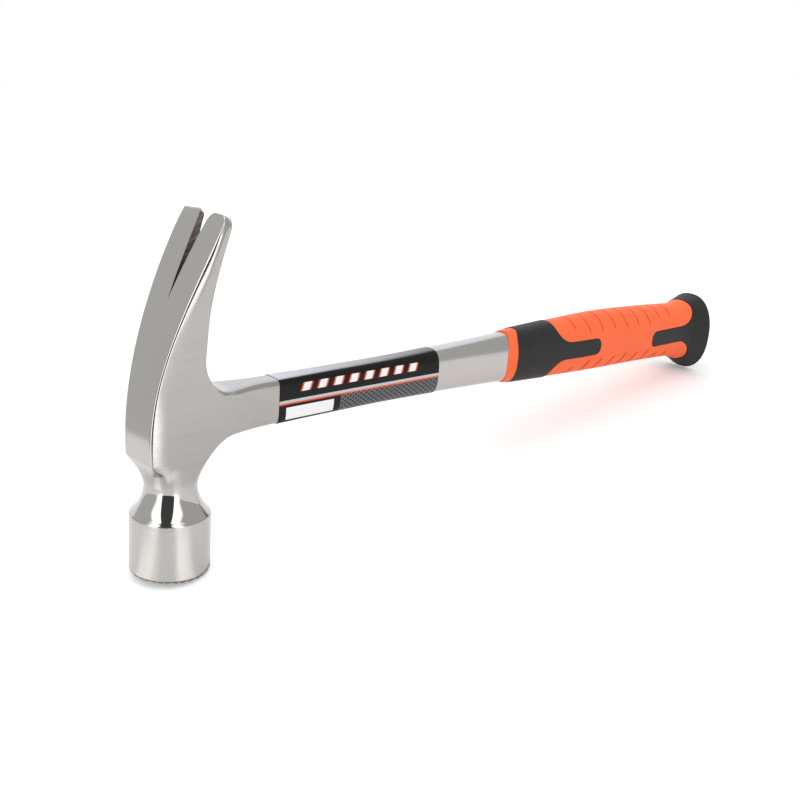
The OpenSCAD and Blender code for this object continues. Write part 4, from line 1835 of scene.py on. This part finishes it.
        # Painted shadow: under the face, mirrored rays see the floor darker and without its glow.
        outside_painted_shadow = 1.0 - glossy * (1.0 - apart.above(self.face_ring, 0.003))
        lift = (self.glow * seen + pools * glossy) * outside_painted_shadow
        lift = lift + self.near_glow * (1.0 - apart.above(self.near_reach, 0.16)) * unmirrored
        lift = lift + apart.above(self.white_start, 0.3) * unmirrored
        pale = graph.blend(outside_painted_shadow, (0.3, 0.3, 0.3), (0.9, 0.9, 0.9))
        white = (1.0, 1.0, 1.0, 1.0)
        diffuse = graph.shader("ShaderNodeBsdfDiffuse", Color=pale)
        glow = graph.shader("ShaderNodeEmission", Color=white, Strength=lift)
        plate = graph.shader("ShaderNodeAddShader", in_0=diffuse, in_1=glow)
        mirror = graph.shader("ShaderNodeBsdfGlossy", Color=white, Roughness=0.12)
        clear = graph.shader("ShaderNodeBsdfTransparent")
        for factor, over in ((self.plate_shine * glossy, mirror), (beyond * glossy, clear)):
            plate = graph.shader("ShaderNodeMixShader", in_0=factor, in_1=plate, in_2=over)
        graph.node("ShaderNodeOutputMaterial", None, Surface=plate)
        return material

    def floor(self) -> None:
        """Lays the floor under the face and the butt."""
        corners = np.array([[-0.8, -0.8], [1.6, -0.8], [1.6, 1.6], [-0.8, 1.6]])
        points = np.hstack([corners, np.full((4, 1), self.floor_level)])
        mesh = bpy.data.meshes.new("floor")
        mesh.from_pydata(points.tolist(), [], [(0, 1, 2, 3)])
        mesh.materials.append(self.floor_finish())
        made = bpy.data.objects.new("floor", mesh)
        bpy.context.scene.collection.objects.link(made)


@dataclass
class Hammer:
    """The whole hammer: its pieces and their finishes."""

    handle: Handle = field(default_factory=Handle)
    steel: Steel = field(default_factory=Steel)
    film: Print = field(default_factory=Print)
    orange: Moulding = Moulding("orange_moulding", (0.93, 0.15, 0.045), (0.6, 0.032, 0.008), 0.5, 0.05)
    black: Moulding = Moulding(
        "black_rubber", (0.019, 0.019, 0.0185), (0.005, 0.005, 0.005), 0.52, 0.12, specular=0.22, patchy=0.5
    )

    def fit(self, piece: bpy.types.Object, node: str, material: bpy.types.Material, slot: Slot) -> None:
        """Dresses a piece and puts it in the place of a CAD node.

        Args:
            piece: The new piece.
            node: Name of the CAD node that it stands for.
            material: Its finish.
            slot: The record's material slot; not used.
        """
        piece.data.materials.append(material)
        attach(piece, "root")
        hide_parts(node)
        log.info("%s: %d faces for node %s", piece.name, len(piece.data.polygons), node)

    def build(self) -> None:
        """Builds and dresses every piece in order."""
        stance = self.handle.stance()
        grip = Grip(self.handle)
        black = self.black.material()
        self.fit(Forging(self.handle).build(stance), "forging", self.steel.material(), Slot.STEEL)
        self.fit(Label(self.handle).build(stance), "shank_label", self.film.material(), Slot.FILM)
        self.fit(grip.core(stance), "grip_core", self.orange.material(), Slot.ORANGE)
        self.fit(grip.front_sleeve(stance), "front_sleeve", black, Slot.BLACK)
        self.fit(grip.butt_cap(stance), "butt_cap", black, Slot.BLACK)


def main() -> None:
    """Builds the studio and the hammer."""
    logging.basicConfig(level=logging.INFO, format="%(name)s %(message)s")
    bpy.context.scene.view_settings.view_transform = "Standard"
    studio = Studio()
    studio.camera()
    studio.world()
    studio.lamp()
    studio.floor()
    Hammer().build()


if __name__ == "__main__":
    main()
